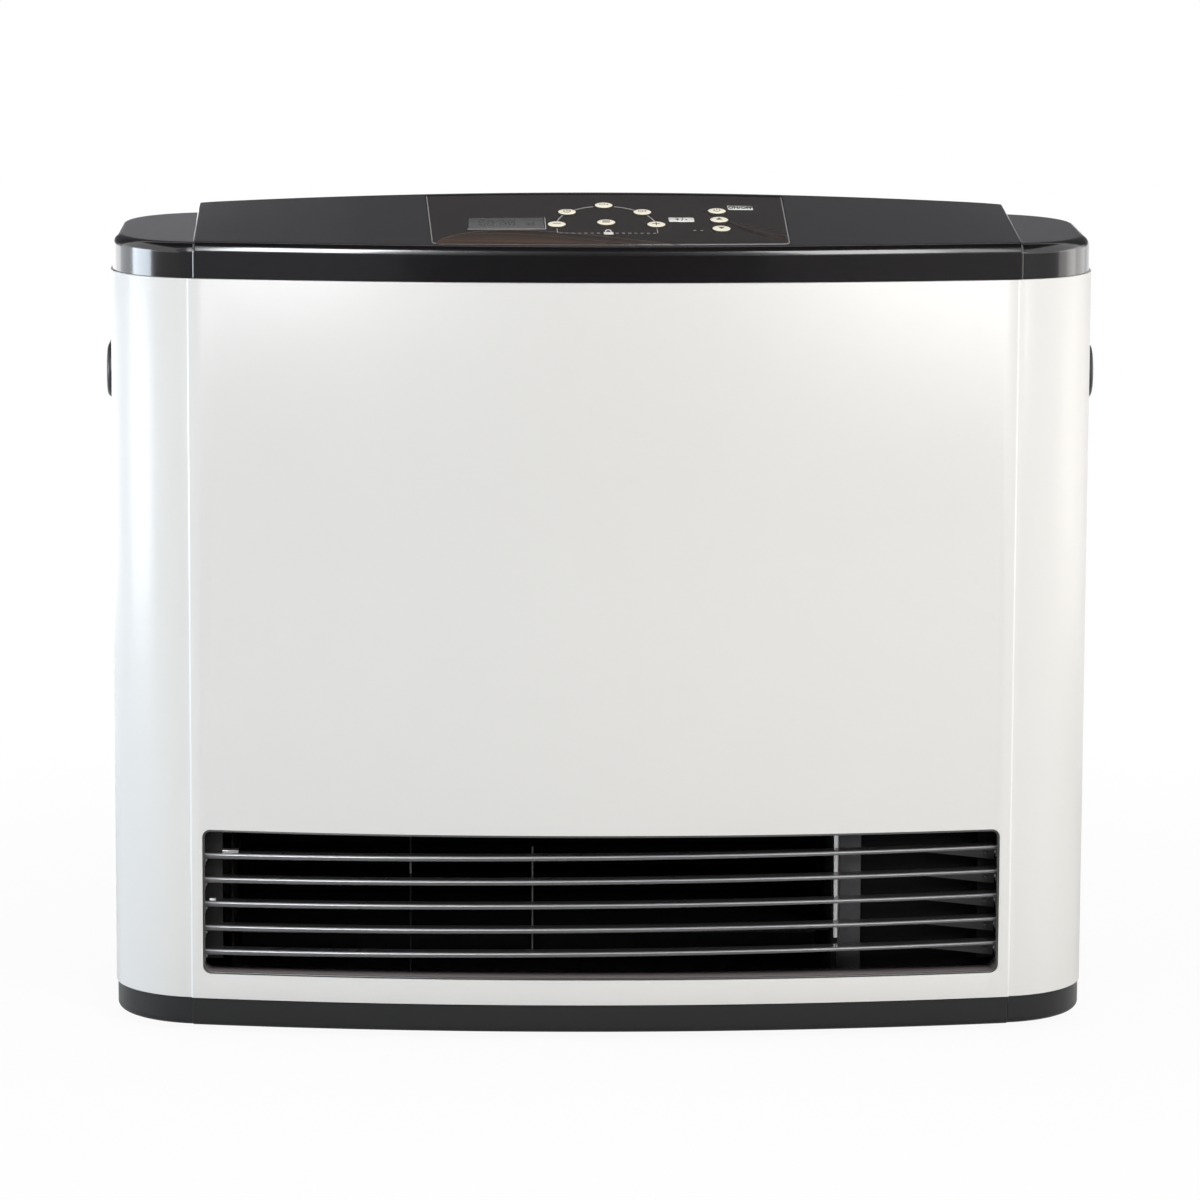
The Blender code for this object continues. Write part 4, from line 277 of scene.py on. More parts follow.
def quarter(steps, last=1):
    """One minus the cosine and one minus the sine at even steps over a quarter turn."""
    angles = [math.pi / 2 * k / steps for k in range(steps + last)]
    return [(1 - math.cos(a), 1 - math.sin(a)) for a in angles]


def between(start, end, steps):
    """Even steps from one point to just before another."""
    return [tuple(a + (b - a) * k / steps for a, b in zip(start, end)) for k in range(steps)]


def bow_depth(x, behind=0.0):
    """Depth of the bowed centre band at x, a distance behind its face."""
    casing = bpy.context.scene.heater_casing
    radius = casing.bow_radius + casing.crease_step - behind
    return casing.bow_radius - math.sqrt(radius ** 2 - x ** 2)


def front_half(inset, step):
    """Right half of the plan: the band, a soft slope at the crease, and the corner."""
    casing, levels = casing_and_levels()
    ramp = casing.crease_ramp / casing.bow_radius
    start = levels.crease_angle - ramp
    turns = [(start * i / BAND_STEPS, 0.0) for i in range(BAND_STEPS + 1)]
    for i in range(1, RAMP_STEPS):
        t = i / RAMP_STEPS
        turns.append((start + ramp * t, t * t * (3 - 2 * t)))
    points = []
    for a, fall in turns:
        radius = casing.bow_radius + step * (1 - fall) - inset
        points.append((radius * math.sin(a), casing.bow_radius - radius * math.cos(a)))
    corner = casing.corner_radius - inset
    for i in range(CORNER_STEPS + 1):
        a = levels.crease_angle + (math.pi / 2 - levels.crease_angle) * i / CORNER_STEPS
        points.append((levels.corner_x + corner * math.sin(a), levels.corner_depth - corner * math.cos(a)))
    return points


def rear_half(inset):
    casing, levels = casing_and_levels()
    return arc((levels.rear_x, levels.rear_depth), casing.rear_radius - inset, 0, 90, REAR_STEPS)


def rear_depth(x, inset):
    """Depth of the back at x, round the rear corner where x is beyond the flat."""
    casing, levels = casing_and_levels()
    over = max(0.0, abs(x) - levels.rear_x)
    return levels.rear_depth + math.sqrt((casing.rear_radius - inset) ** 2 - over ** 2)


def plan_ring(inset, z, step=0.0):
    """The whole plan at one height."""
    half = front_half(inset, step) + rear_half(inset)
    return [at(x, d, z) for x, d in half + [(-x, d) for x, d in reversed(half[1:])]]


def hump_z(x, depth):
    """Height of the cap's raised centre."""
    casing, levels = casing_and_levels()
    crown = casing.hump_crown * (1 - (x / levels.crease_x) ** 2)
    return levels.cap_top + depth / casing.depth * (casing.hump_rise + crown)


def on_panel(x, depth, height=0.0):
    """A point on the cap's crowned slope, with height above it."""
    return at(x, depth, hump_z(x, depth) + height)


# Mesh helpers

def link_object(name, data):
    made = bpy.data.objects.new(name, data)
    bpy.context.scene.collection.objects.link(made)
    return made


def plain_mesh(made):
    """The mesh that an object shows, modifiers and all."""
    graph = bpy.context.evaluated_depsgraph_get()
    return bpy.data.meshes.new_from_object(made.evaluated_get(graph))


def sharpen(made, degrees):
    """Smooth shading, apart from edges that turn by more than the angle."""
    made.data.shade_smooth()
    made.data.set_sharp_from_angle(angle=math.radians(degrees))
    return made


def new_piece(name, bm, *looks, smooth=35.0, outward=True):
    """A piece from a bmesh, with looks by name, or materials, as its slots."""
    if outward:
        bmesh.ops.recalc_face_normals(bm, faces=bm.faces)
    mesh = bpy.data.meshes.new(name)
    bm.to_mesh(mesh)
    bm.free()
    for look in looks:
        mesh.materials.append(LOOKS.get(look, look))
    return sharpen(link_object(name, mesh), smooth)


def ring_faces(bm, rows, closed=True):
    """Quads between neighbouring rows of vertices."""
    for low, high in zip(rows, rows[1:]):
        size = len(low)
        for i in range(size if closed else size - 1):
            j = (i + 1) % size
            bm.faces.new((low[i], low[j], high[j], high[i]))


def skin_bmesh(rows, closed=False):
    """An open skin through rows of points."""
    bm = bmesh.new()
    ring_faces(bm, [[bm.verts.new(p) for p in row] for row in rows], closed)
    return bm


def body_bmesh(*bodies):
    """Closed bodies, each through its own rings of points."""
    bm = bmesh.new()
    for rings in bodies:
        rows = [[bm.verts.new(p) for p in ring] for ring in rings]
        ring_faces(bm, rows)
        bm.faces.new(list(reversed(rows[0])))
        bm.faces.new(rows[-1])
    return bm


def hoop(bm, rings):
    """A body whose last ring meets its first."""
    rows = [[bm.verts.new(p) for p in ring] for ring in rings]
    ring_faces(bm, rows + rows[:1])


def loft(name, rings, look="charcoal", smooth=35.0):
    """A closed body through rings of points."""
    return new_piece(name, body_bmesh(rings), look, smooth=smooth)


def add_cube(bm, low, high):
    """A block between two corners in the world."""
    verts = bmesh.ops.create_cube(bm, size=1.0)["verts"]
    bmesh.ops.scale(bm, vec=high - low, verts=verts)
    bmesh.ops.translate(bm, vec=(low + high) / 2, verts=verts)


def box(name, corner, opposite, *looks, round_by=0.0, segments=3):
    """A block between two places, in any order."""
    bm = bmesh.new()
    add_cube(bm, at(*map(min, corner, opposite)), at(*map(max, corner, opposite)))
    made = new_piece(name, bm, *looks)
    return bevel(made, round_by, segments) if round_by else made


def rod(name, start, end, radius, look, steps=20):
    """A round bar between two places."""
    a, b = at(*start), at(*end)
    bm = bmesh.new()
    turn = (b - a).to_track_quat("Z", "Y").to_matrix().to_4x4()
    bmesh.ops.create_cone(
        bm, cap_ends=True, segments=steps, radius1=radius, radius2=radius, depth=(b - a).length,
        matrix=Matrix.Translation((a + b) / 2) @ turn)
    return new_piece(name, bm, look)


def bevel(made, width, segments=3, angle=40.0):
    """Rounds the edges that turn by more than the angle."""
    step = made.modifiers.new("rounded_edges", "BEVEL")
    step.width = width
    step.segments = segments
    step.limit_method = "ANGLE"
    step.angle_limit = math.radians(angle)
    return made


def settle(made):
    """Turns a piece's modifiers into its plain mesh."""
    mesh = plain_mesh(made)
    made.modifiers.clear()
    made.data = mesh
    return made


def thickened(made, thickness):
    """Gives an open skin its thickness, inwards."""
    wall = made.modifiers.new("wall", "SOLIDIFY")
    wall.thickness = thickness
    wall.offset = -1.0
    wall.use_even_offset = True
    return settle(made)


def even_normals(made):
    """Weights the normals by face area, so that flat faces reflect as flat ones."""
    step = made.modifiers.new("even_normals", "WEIGHTED_NORMAL")
    step.weight = 100
    step.keep_sharp = True
    return settle(made)


def combine(target, others, operation, smooth=35.0):
    """Cuts or joins helper bodies, which are removed afterwards."""
    for other in others:
        step = target.modifiers.new(other.name, "BOOLEAN")
        step.operation = operation
        step.object = other
        step.solver = "EXACT"
    settle(target)
    for other in others:
        bpy.data.objects.remove(other)
    return sharpen(target, smooth)


def finish(made, slot_name, *replaced, body="casing"):
    """Gives a finished piece its body and hides the solids that it stands for. The slot name is not used."""
    if made.modifiers:
        settle(made)
    if replaced:
        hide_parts(*replaced)
    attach(made, body)
    return made


def dress(name, look, slot_name, edge=0.0003, body="casing", segments=2):
    """A merged copy of a solid with fine rounded edges and its own finish."""
    smooth = 32.0
    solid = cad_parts[name]
    bm = bmesh.new()
    bm.from_mesh(solid.data)
    bmesh.ops.transform(bm, matrix=solid.matrix_world, verts=bm.verts)
    bmesh.ops.remove_doubles(bm, verts=bm.verts, dist=0.00001)
    bmesh.ops.dissolve_limit(
        bm, angle_limit=math.radians(0.6), use_dissolve_boundaries=False, verts=bm.verts, edges=bm.edges)
    copy = new_piece(name + "_dressed", bm, look, smooth=smooth)
    if edge:
        bevel(copy, edge, segments, 30.0).modifiers[-1].use_clamp_overlap = True
        sharpen(settle(copy), smooth)
    return finish(copy, slot_name, name, body=body)


# Node helpers

def node(tree, kind, inputs=None, **settings):
    """A node with its settings, inputs given as values or as sockets to link."""
    made = tree.nodes.new(kind)
    for key, value in settings.items():
        setattr(made, key, value)
    for key, value in (inputs or {}).items():
        if isinstance(value, bpy.types.NodeSocket):
            tree.links.new(value, made.inputs[key])
        else:
            made.inputs[key].default_value = value
    return made


def maths(tree, operation, a, b=None, **settings):
    """Result of a sum on one or two values."""
    inputs = {0: a} if b is None else {0: a, 1: b}
    return node(tree, "ShaderNodeMath", inputs, operation=operation, **settings).outputs[0]


def ranged(tree, value, low=0.0, high=1.0, start=0.0, end=1.0, **settings):
    """A value moved from one range to another."""
    inputs = {"Value": value, "From Min": low, "From Max": high, "To Min": start, "To Max": end}
    return node(tree, "ShaderNodeMapRange", inputs, **settings).outputs[0]


def mixed(tree, factor, a, b):
    """A colour between two others."""
    return node(tree, "ShaderNodeMix", {"Factor": factor, "A": a, "B": b}, data_type="RGBA").outputs["Result"]


def here(tree):
    """The place on the piece, in object coordinates."""
    return node(tree, "ShaderNodeTexCoord").outputs["Object"]


def noise(tree, place, scale, detail, **inputs):
    """Shade of a noise texture."""
    values = {"Vector": place, "Scale": scale, "Detail": detail, **inputs}
    return node(tree, "ShaderNodeTexNoise", values).outputs["Fac"]


def parts_of(tree, vector):
    """The X, Y and Z of a vector."""
    return node(tree, "ShaderNodeSeparateXYZ", {0: vector}).outputs


def combined(tree, **parts):
    """A vector from X, Y and Z."""
    return node(tree, "ShaderNodeCombineXYZ", parts).outputs[0]


# Shared effects

def shader_group(name, outputs, **inputs):
    """An empty node group with its named sockets."""
    tree = bpy.data.node_groups.new(name, "ShaderNodeTree")
    for label, default in inputs.items():
        kind = "NodeSocketVector" if isinstance(default, tuple) else "NodeSocketFloat"
        tree.interface.new_socket(label, in_out="INPUT", socket_type=kind).default_value = default
    for label in outputs:
        tree.interface.new_socket(label, in_out="OUTPUT", socket_type="NodeSocketFloat")
    return tree, tree.nodes.new("NodeGroupInput").outputs, tree.nodes.new("NodeGroupOutput").inputs


def orange_peel_group():
    """Height of sprayed paint: a fine ripple over a long, faint wave."""
    tree, given, out = shader_group("orange_peel", ("Height",), Scale=900.0, Wave=0.3)
    place = here(tree)
    fine = noise(tree, place, given["Scale"], 2.0, Roughness=0.45)
    wave = maths(tree, "MULTIPLY", noise(tree, place, 26.0, 1.0), given["Wave"])
    tree.links.new(maths(tree, "ADD", fine, wave), out["Height"])


def handling_group():
    """Roughness with faint smudges, and a mask of light dust on faces that look up."""
    tree, given, out = shader_group("handling", ("Roughness", "Dust"), Roughness=0.3, Smudge=0.06, Dust=0.1)
    place = here(tree)
    cloud = noise(tree, place, 17.0, 4.0, Roughness=0.6, Distortion=0.4)
    amount = maths(tree, "MULTIPLY", maths(tree, "SUBTRACT", cloud, 0.5), given["Smudge"])
    tree.links.new(maths(tree, "ADD", given["Roughness"], amount, use_clamp=True), out["Roughness"])
    upward = parts_of(tree, node(tree, "ShaderNodeNewGeometry").outputs["Normal"])["Z"]
    dots = ranged(tree, noise(tree, place, 1400.0, 2.0, Roughness=0.7), 0.52, 0.75)
    lying = maths(tree, "MULTIPLY", ranged(tree, upward, 0.55, 1.0), dots)
    tree.links.new(maths(tree, "MULTIPLY", lying, given["Dust"]), out["Dust"])


def moulded_grain_group():
    """Fine spark-eroded grain of a moulding."""
    tree, given, out = shader_group("moulded_grain", ("Height",), Scale=2200.0)
    place = here(tree)
    cells = node(tree, "ShaderNodeTexVoronoi", {
        "Vector": place, "Scale": given["Scale"], "Randomness": 1.0}, feature="SMOOTH_F1")
    rough = noise(tree, place, given["Scale"], 3.0)
    tree.links.new(maths(tree, "ADD", cells.outputs["Distance"], rough), out["Height"])


def spangle_group():
    """Shade and height of the crystals in galvanised or aluminised sheet."""
    tree, given, out = shader_group("spangle", ("Shade", "Height"), Scale=90.0)
    place = here(tree)
    warp = node(tree, "ShaderNodeTexNoise", {"Vector": place, "Scale": 40.0, "Detail": 3.0})
    bent = node(tree, "ShaderNodeMixRGB", {0: 0.04, 1: place, 2: warp.outputs["Color"]}, blend_type="ADD")
    cells = node(tree, "ShaderNodeTexVoronoi", {
        "Vector": bent.outputs[0], "Scale": given["Scale"]}, feature="F1")
    split = node(tree, "ShaderNodeSeparateColor", {0: cells.outputs["Color"]})
    tree.links.new(split.outputs["Red"], out["Shade"])
    tree.links.new(noise(tree, place, 700.0, 3.0), out["Height"])


def drawn_lines_group():
    """Fine turned or drawn lines on bare metal."""
    tree, given, out = shader_group("drawn_lines", ("Lines",), Scale=(30.0, 900.0, 900.0))
    stretched = node(tree, "ShaderNodeVectorMath", {0: here(tree), 1: given["Scale"]}, operation="MULTIPLY")
    tree.links.new(noise(tree, stretched.outputs[0], 1.0, 3.0, Roughness=0.6), out["Lines"])


def use_group(tree, group_name, **values):
    made = tree.nodes.new("ShaderNodeGroup")
    made.node_tree = bpy.data.node_groups[group_name]
    for key, value in values.items():
        made.inputs[key].default_value = value
    return made.outputs


# Finishes

def toned(shade, amount):
    """A shade made lighter or darker, with full alpha."""
    return (*(min(1.0, c * amount) for c in shade), 1.0)


def surface(name, shade, shown=True, **settings):
    """A material with its Principled shader, ready for its colour and height."""
    made = bpy.data.materials.new(name)
    made.use_nodes = True
    tree = made.node_tree
    shader = tree.nodes["Principled BSDF"]
    shader.inputs["Base Color"].default_value = toned(shade, 1.0)
    for key, value in settings.items():
        shader.inputs[key.replace("_", " ").title().replace("Ior", "IOR")].default_value = value
    if shown:
        made.diffuse_color = toned(shade, 1.0)
    return made, tree, shader


def bump(tree, shader, height, strength, distance):
    made = node(tree, "ShaderNodeBump", {"Height": height, "Strength": strength, "Distance": distance})
    tree.links.new(made.outputs["Normal"], shader.inputs["Normal"])


def handled(tree, shader, shade, roughness, smudge, dust, cloud_scale, variation):
    """A slow change of tone, dust over it, and smudges in the roughness."""
    cloud = noise(tree, here(tree), cloud_scale, 3.0)
    tone = mixed(tree, cloud, toned(shade, 1 - variation), toned(shade, 1 + variation))
    handling = use_group(tree, "handling", Roughness=roughness, Smudge=smudge, Dust=dust)
    tree.links.new(mixed(tree, handling["Dust"], tone, (0.42, 0.41, 0.39, 1.0)), shader.inputs["Base Color"])
    tree.links.new(handling["Roughness"], shader.inputs["Roughness"])


def painted(
        name, shade, roughness, strength, scale=1500.0, wave=0.3, dust=0.0, coat=0.0, smudge=0.05, shine=0.5):
    """Sprayed paint with its orange peel."""
    made, tree, shader = surface(
        name, shade, roughness=roughness, coat_weight=coat, coat_roughness=0.12, specular_IOR_level=shine)
    handled(tree, shader, shade, roughness, smudge, dust, 5.0, 0.012)
    bump(tree, shader, use_group(tree, "orange_peel", Scale=scale, Wave=wave)["Height"], strength, 0.0002)
    return made


def moulded(name, shade, roughness, strength=0.05, grain=2600.0, dust=0.0, smudge=0.06, coat=0.0, shine=0.5):
    """A moulding or a print with a fine grain."""
    made, tree, shader = surface(
        name, shade, roughness=roughness, coat_weight=coat, coat_roughness=0.10, specular_IOR_level=shine)
    handled(tree, shader, shade, roughness, smudge, dust, 12.0, 0.05)
    bump(tree, shader, use_group(tree, "moulded_grain", Scale=grain)["Height"], strength, 0.00004)
    return made


def streaked(name, shade, roughness, metallic, group, scale, height, tones, spread, depth):
    """Metal whose tone and roughness follow the group's first output."""
    made, tree, shader = surface(name, shade, roughness=roughness, metallic=metallic)
    pattern = use_group(tree, group, Scale=scale)
    tone = mixed(tree, pattern[0], toned(shade, tones[0]), toned(shade, tones[1]))
    tree.links.new(tone, shader.inputs["Base Color"])
    rough = ranged(tree, pattern[0], start=roughness * spread[0], end=roughness * spread[1])
    tree.links.new(rough, shader.inputs["Roughness"])
    bump(tree, shader, pattern[height], *depth)
    return made


def coated_sheet(name, shade, roughness, scale, contrast):
    """Galvanised or aluminised steel with its crystals."""
    return streaked(
        name, shade, roughness, 1.0, "spangle", scale, "Height",
        (1 - contrast, 1 + contrast), (0.8, 1.25), (0.15, 0.0001))


def bare_metal(name, shade, roughness, stretch, metallic=1.0):
    """Bare or lacquered metal with drawn lines."""
    return streaked(
        name, shade, roughness, metallic, "drawn_lines", stretch, "Lines",
        (0.88, 1.08), (0.75, 1.3), (0.12, 0.00005))


def woven_net(name, shade):
    """Fine filter net on a flat sheet: square cells whose middles are painted near black, a painted shade for
    the dark seen through the net's holes.
    """
    made, tree, shader = surface(name, shade, roughness=0.7)
    parts = parts_of(tree, here(tree))
    threads = []
    for axis in ("X", "Z"):
        swing = maths(tree, "SINE", maths(tree, "MULTIPLY", parts[axis], 4400.0))
        threads.append(ranged(tree, swing, -0.2, 0.9))
    weave = maths(tree, "MAXIMUM", *threads)
    # The cells' middles are near black: painted shade for the inside seen through the holes.
    tone = mixed(tree, weave, (0.006, 0.006, 0.006, 1.0), toned(shade, 1.0))
    tree.links.new(tone, shader.inputs["Base Color"])
    bump(tree, shader, weave, 0.6, 0.0002)
    return made


def circuit_board(name, shade):
    """Solder mask with faint tracks and speckle."""
    made, tree, shader = surface(name, shade, roughness=0.35)
    place = here(tree)
    tracks = node(tree, "ShaderNodeTexBrick", {
        "Vector": place, "Scale": 160.0, "Mortar Size": 0.06, "Mortar Smooth": 0.2,
        "Color1": toned(shade, 1.0), "Color2": toned(shade, 0.85), "Mortar": toned(shade, 1.6)}, offset=0.35)
    tree.links.new(tracks.outputs["Color"], shader.inputs["Base Color"])
    bump(tree, shader, noise(tree, place, 900.0, 2.0), 0.2, 0.00006)
    return made


def make_looks(colours):
    """All the finishes, by name."""
    for build in (orange_peel_group, handling_group, moulded_grain_group, spangle_group, drawn_lines_group):
        build()
    return {
        "enamel": painted("white_enamel", colours.enamel, 0.30, 0.10, 900.0, 0.35, dust=0.02),
        "enamel_crease_highlight": painted("white_enamel_edge", (0.93, 0.93, 0.93), 0.28, 0.05, 900.0, 0.35),
        "rear_paint": painted("rear_grey_paint", colours.rear_paint, 0.42, 0.22, 1300.0, dust=0.05),
        "louvre": painted("black_louvre_paint", colours.louvre, 0.28, 0.06, coat=0.7),
        # The baffle look is black paint made darker and less shiny than the louvre paint: partly its own
        # black, partly painted shade for the dark control bay.
        "baffle": painted("black_baffle_paint", (0.006, 0.005, 0.006), 0.6, 0.14, shine=0.10),
        "surround": painted("outlet_surround_paint", (0.50, 0.42, 0.43), 0.42, 0.14),
        "bead": painted("outlet_bead_paint", (0.055, 0.058, 0.052), 0.32, 0.10),
        "gusset": painted("gusset_paint", (0.045, 0.044, 0.045), 0.34, 0.14),
        "wire": painted("guard_wire_paint", (0.007, 0.007, 0.007), 0.55, 0.10, shine=0.15),
        # The lighter wire look stands for light on the guard wires: a painted highlight.
        "lit_wire": painted("wire_sleeve", (0.11, 0.11, 0.112), 0.45, 0.10),
        # The tab look is dark grey: painted shade on the galvanised left bracket behind the blades.
        "tab_zinc_shade": painted("tab_paint", (0.030, 0.030, 0.031), 0.5, 0.12, 1300.0, shine=0.3),
        # The duct look is near black: painted shade on galvanised pieces inside the casing.
        "duct": painted("duct_paint", (0.012, 0.011, 0.012), 0.62, 0.12, 1300.0, shine=0.10),
        # The fan look is near black: painted shade for the dark inside the casing, used on the aluminium
        # rotor and the steel shaft.
        "fan": painted("fan_black", (0.003, 0.003, 0.003), 0.70, 0.04, 900.0, shine=0.02, smudge=0.0),
        "charcoal": moulded(
            "charcoal_gloss_moulding", colours.charcoal, 0.22, 0.02, dust=0.01, coat=1.0, smudge=0.02),
        "plinth": moulded(
            "charcoal_satin_moulding", colours.plinth, 0.30, 0.08, 1900.0, dust=0.01, shine=0.45),
        "black_plastic": moulded("black_plastic", (0.020, 0.020, 0.021), 0.42, 0.25, 2100.0, dust=0.05),
        "handle": moulded("grip_moulding", (0.022, 0.022, 0.023), 0.36, 0.2, 2100.0, dust=0.02),
        "rubber": moulded("foot_rubber", (0.022, 0.022, 0.022), 0.75, 0.4, 1500.0, dust=0.1),
        "ceramic": moulded("glazed_ceramic", (0.82, 0.80, 0.75), 0.30, 0.1, 1200.0, dust=0.05),
        "lamp": moulded("lamp_lens", (0.40, 0.40, 0.38), 0.18, 0.02),
        "key": moulded("key_cream", colours.key, 0.34, 0.08, dust=0.01),
        "panel": moulded("panel_film", colours.panel, 0.16, 0.02, dust=0.02),
        "panel_edge": moulded("panel_edge_pale", (0.34, 0.33, 0.32), 0.30),
        "window": moulded("window_smoke", (0.115, 0.115, 0.115), 0.22, dust=0.02),
        "digits": moulded("window_digits", (0.075, 0.075, 0.076), 0.35, 0.02),
        "print": moulded("printed_white", (0.86, 0.84, 0.80), 0.45),
        "print_dark": moulded("printed_black", (0.02, 0.02, 0.02), 0.5),
        "print_grey": moulded("printed_pale_grey", (0.36, 0.34, 0.32), 0.45),
        "bronze": moulded("bronze_print", colours.bronze, 0.30),
        "bronze_light": moulded("bronze_print_light", (0.12, 0.080, 0.060), 0.30),
        "bronze_dim": moulded("bronze_print_dim", (0.035, 0.026, 0.022), 0.30),
        "bronze_faint": moulded("bronze_print_faint", (0.029, 0.0215, 0.0185), 0.30),
        "zinc": coated_sheet("galvanised_sheet", colours.zinc, 0.38, 85.0, 0.10),
        # Galvanised sheet with its crystals, much darker than the zinc look: partly real zinc, partly painted
        # shade for the inside of the casing.
        "shaded_zinc": coated_sheet("dull_zinc_sheet", (0.10, 0.10, 0.105), 0.46, 85.0, 0.12),
        "aluminised": coated_sheet("aluminised_sheet", (0.46, 0.45, 0.43), 0.48, 160.0, 0.06),
        "louvre_top_highlight": bare_metal("louvre_edge_worn", (0.40, 0.40, 0.41), 0.36, (60.0, 500.0, 500.0), 0.35),
        "steel": bare_metal("bright_steel", (0.56, 0.56, 0.57), 0.28, (900.0, 40.0, 40.0)),
        "dull_steel": bare_metal("dull_steel", (0.55, 0.54, 0.53), 0.36, (700.0, 60.0, 60.0)),
        # The bright strip look is lighter than the zinc: a painted highlight for the duct's edge and the
        # blade clips.
        "bright_strip": bare_metal("bright_strip", (0.74, 0.73, 0.72), 0.34, (60.0, 60.0, 160.0)),
        "aluminium": bare_metal("cast_aluminium", (0.72, 0.72, 0.73), 0.36, (300.0, 300.0, 300.0)),
        "brass": bare_metal("drawn_brass", (0.68, 0.50, 0.22), 0.30, (60.0, 700.0, 700.0)),
        "iron": bare_metal("lacquered_iron", (0.12, 0.115, 0.115), 0.50, (700.0, 60.0, 700.0), 0.7),
        "key_rim": bare_metal("key_gold_rim", colours.key_rim, 0.24, (500.0, 500.0, 500.0)),
        "board": circuit_board("green_board", (0.03, 0.16, 0.075)),
        "net": woven_net("filter_net", (0.16, 0.16, 0.17)),
    }


# Casing, cap and base

NOSE_STEPS, HOLLOW_STEPS, EDGE_STEPS = 9, 2, 5
CUT_REACH, CUT_BEFORE, CUT_BEHIND = 0.01, -0.02, 0.054
HOLE_REACH = 0.003
LEDGE_WIDTH, LEDGE_DEPTH = 0.007, 0.009
FOOT = ((0.0125, 0.0), (0.0136, 0.0005), (0.014, 0.0014), (0.014, 0.0066))


def outlet_middle():
    """Height of the outlet's middle."""
    outlet = bpy.context.scene.heater_outlet
    return PANEL_LOW[2] + outlet.rise + outlet.height / 2


def opening_outline():
    """The outlet as (x, z), anticlockwise seen from the front."""
    outlet = bpy.context.scene.heater_outlet
    radius = outlet.corner
    corner = arc((outlet.half_width - radius, outlet.height / 2 - radius), radius, 0, 90, 10)
    upper = corner + [(-x, z) for x, z in reversed(corner)]
    return [(x, outlet_middle() + z) for x, z in upper + [(-x, -z) for x, z in upper]]


def folded_sheet(name, path, look):
    """A painted sheet along a path in plan, with edges turned in at its foot and its top."""
    casing, levels = casing_and_levels()
    edge = casing.sheet_return
    folds = ((edge, levels.case_low), (0.0, levels.case_low), (0.0, levels.case_top), (edge, levels.case_top))
    rows = [[at(x, d, z) for x, d in path(inset)] for inset, z in folds]
    return thickened(new_piece(name, skin_bmesh(rows), look, smooth=28.0, outward=False), casing.sheet)


def cut_sheet(panel, cutters, rounding):
    """Cuts a sheet's openings and rounds its edges by a share of its thickness."""
    combine(panel, cutters, "DIFFERENCE")
    settle(bevel(panel, bpy.context.scene.heater_casing.sheet * rounding, 2, 50.0))
    return sharpen(panel, 28.0)


def make_front_panel():
    """The painted front sheet with its turned edges, the outlet and the two grip openings."""
    casing, levels = casing_and_levels()

    def path(inset):
        half = front_half(inset, casing.crease_step) + [(levels.half - inset, casing.seam_depth)]
        return [(-x, d) for x, d in reversed(half[1:])] + half

    panel = folded_sheet("front_panel_skin", path, "enamel")
    outline = opening_outline()
    rings = [[at(x, d, z) for x, z in outline] for d in (CUT_BEFORE, CUT_BEHIND)]
    cutters = [loft("outlet_cut", rings, "enamel")]
    (_, depth, z), _ = middle_of("handle_left")
    long, tall = casing.grip_length, casing.grip_height
    for side in (-1, 1):
        cutters.append(box(
            "grip_cut", (side * (levels.half - CUT_REACH), depth - long, z - tall),
            (side * (levels.half + CUT_REACH), depth + long, z + tall)))
    cut_sheet(panel, cutters, 0.34)
    # The crease ramps facing forward and outward take a lighter white than the enamel: a painted highlight
    # for the light that the creases catch.
    panel.data.materials.append(LOOKS["enamel_crease_highlight"])
    for face in panel.data.polygons:
        beside = abs(abs(face.center.x) - levels.crease_x)
        if beside < casing.crease_ramp * 1.1 and abs(face.normal.x) > 0.3 and face.normal.y < -0.2:
            face.material_index = 1
    finish(panel, "white_paint", "front_panel")


def cap_bottom(wall):
    """Height where the cap starts, or its hollow when wall is above zero."""
    casing, levels = casing_and_levels()
    return levels.cap_low - (casing.cap_wall if wall else 0.0)


def cap_side_rings(wall):
    """Rings of the cap's flat part, or of its hollow when wall is above zero."""
    casing, levels = casing_and_levels()
    inset = casing.cap_inset + wall
    nose = casing.cap_nose - wall * 0.5
    return [plan_ring(inset, cap_bottom(wall))] + [
        plan_ring(inset + nose * back, levels.cap_top - wall - nose * down)
        for back, down in quarter(HOLLOW_STEPS if wall else NOSE_STEPS)]


def hump_section(x, wall, drop):
    """Side view of the cap's raised centre at x."""
    casing, levels = casing_and_levels()
    nose = casing.cap_nose - wall * 0.5
    inset = casing.cap_inset + wall
    spread = casing.hump_flare / levels.crease_x
    front = bow_depth(x + casing.hump_shift, inset) + drop * 0.5
    rear = rear_depth(x * (1 + spread) + casing.hump_shift, inset) - drop * 0.5

    def place(depth, z):
        return at(x * (1 + spread * depth / casing.depth) + casing.hump_shift, depth, z)

    top = hump_z(x, front + nose) - wall - drop
    points = [place(front, cap_bottom(wall))]
    points += [place(front + nose * back, top - nose * down)
               for back, down in quarter(HOLLOW_STEPS if wall else NOSE_STEPS)]
    radius = casing.cap_nose / 2
    top = hump_z(x, rear - radius) - wall - drop
    if not wall:
        points += [place(rear - radius * back, top - radius * down) for down, back in quarter(EDGE_STEPS, 0)]
    return points + [place(rear, top - radius), place(rear, cap_bottom(wall))]


def hump_body(name, wall):
    """The raised centre, or its hollow when wall is above zero."""
    casing, levels = casing_and_levels()
    half = levels.crease_x - casing.crease_ramp - wall
    edge = casing.hump_edge
    rounding = [(half - edge * back, edge * down) for back, down in quarter(EDGE_STEPS, 0)]
    ends = [(half, 0.0)] if wall else rounding
    stations = [(-x, drop) for x, drop in ends]
    stations += [((half - edge) * i / 24, 0.0) for i in range(-24, 25)]
    stations += list(reversed(ends))
    return loft(name, [hump_section(x, wall, drop) for x, drop in stations])


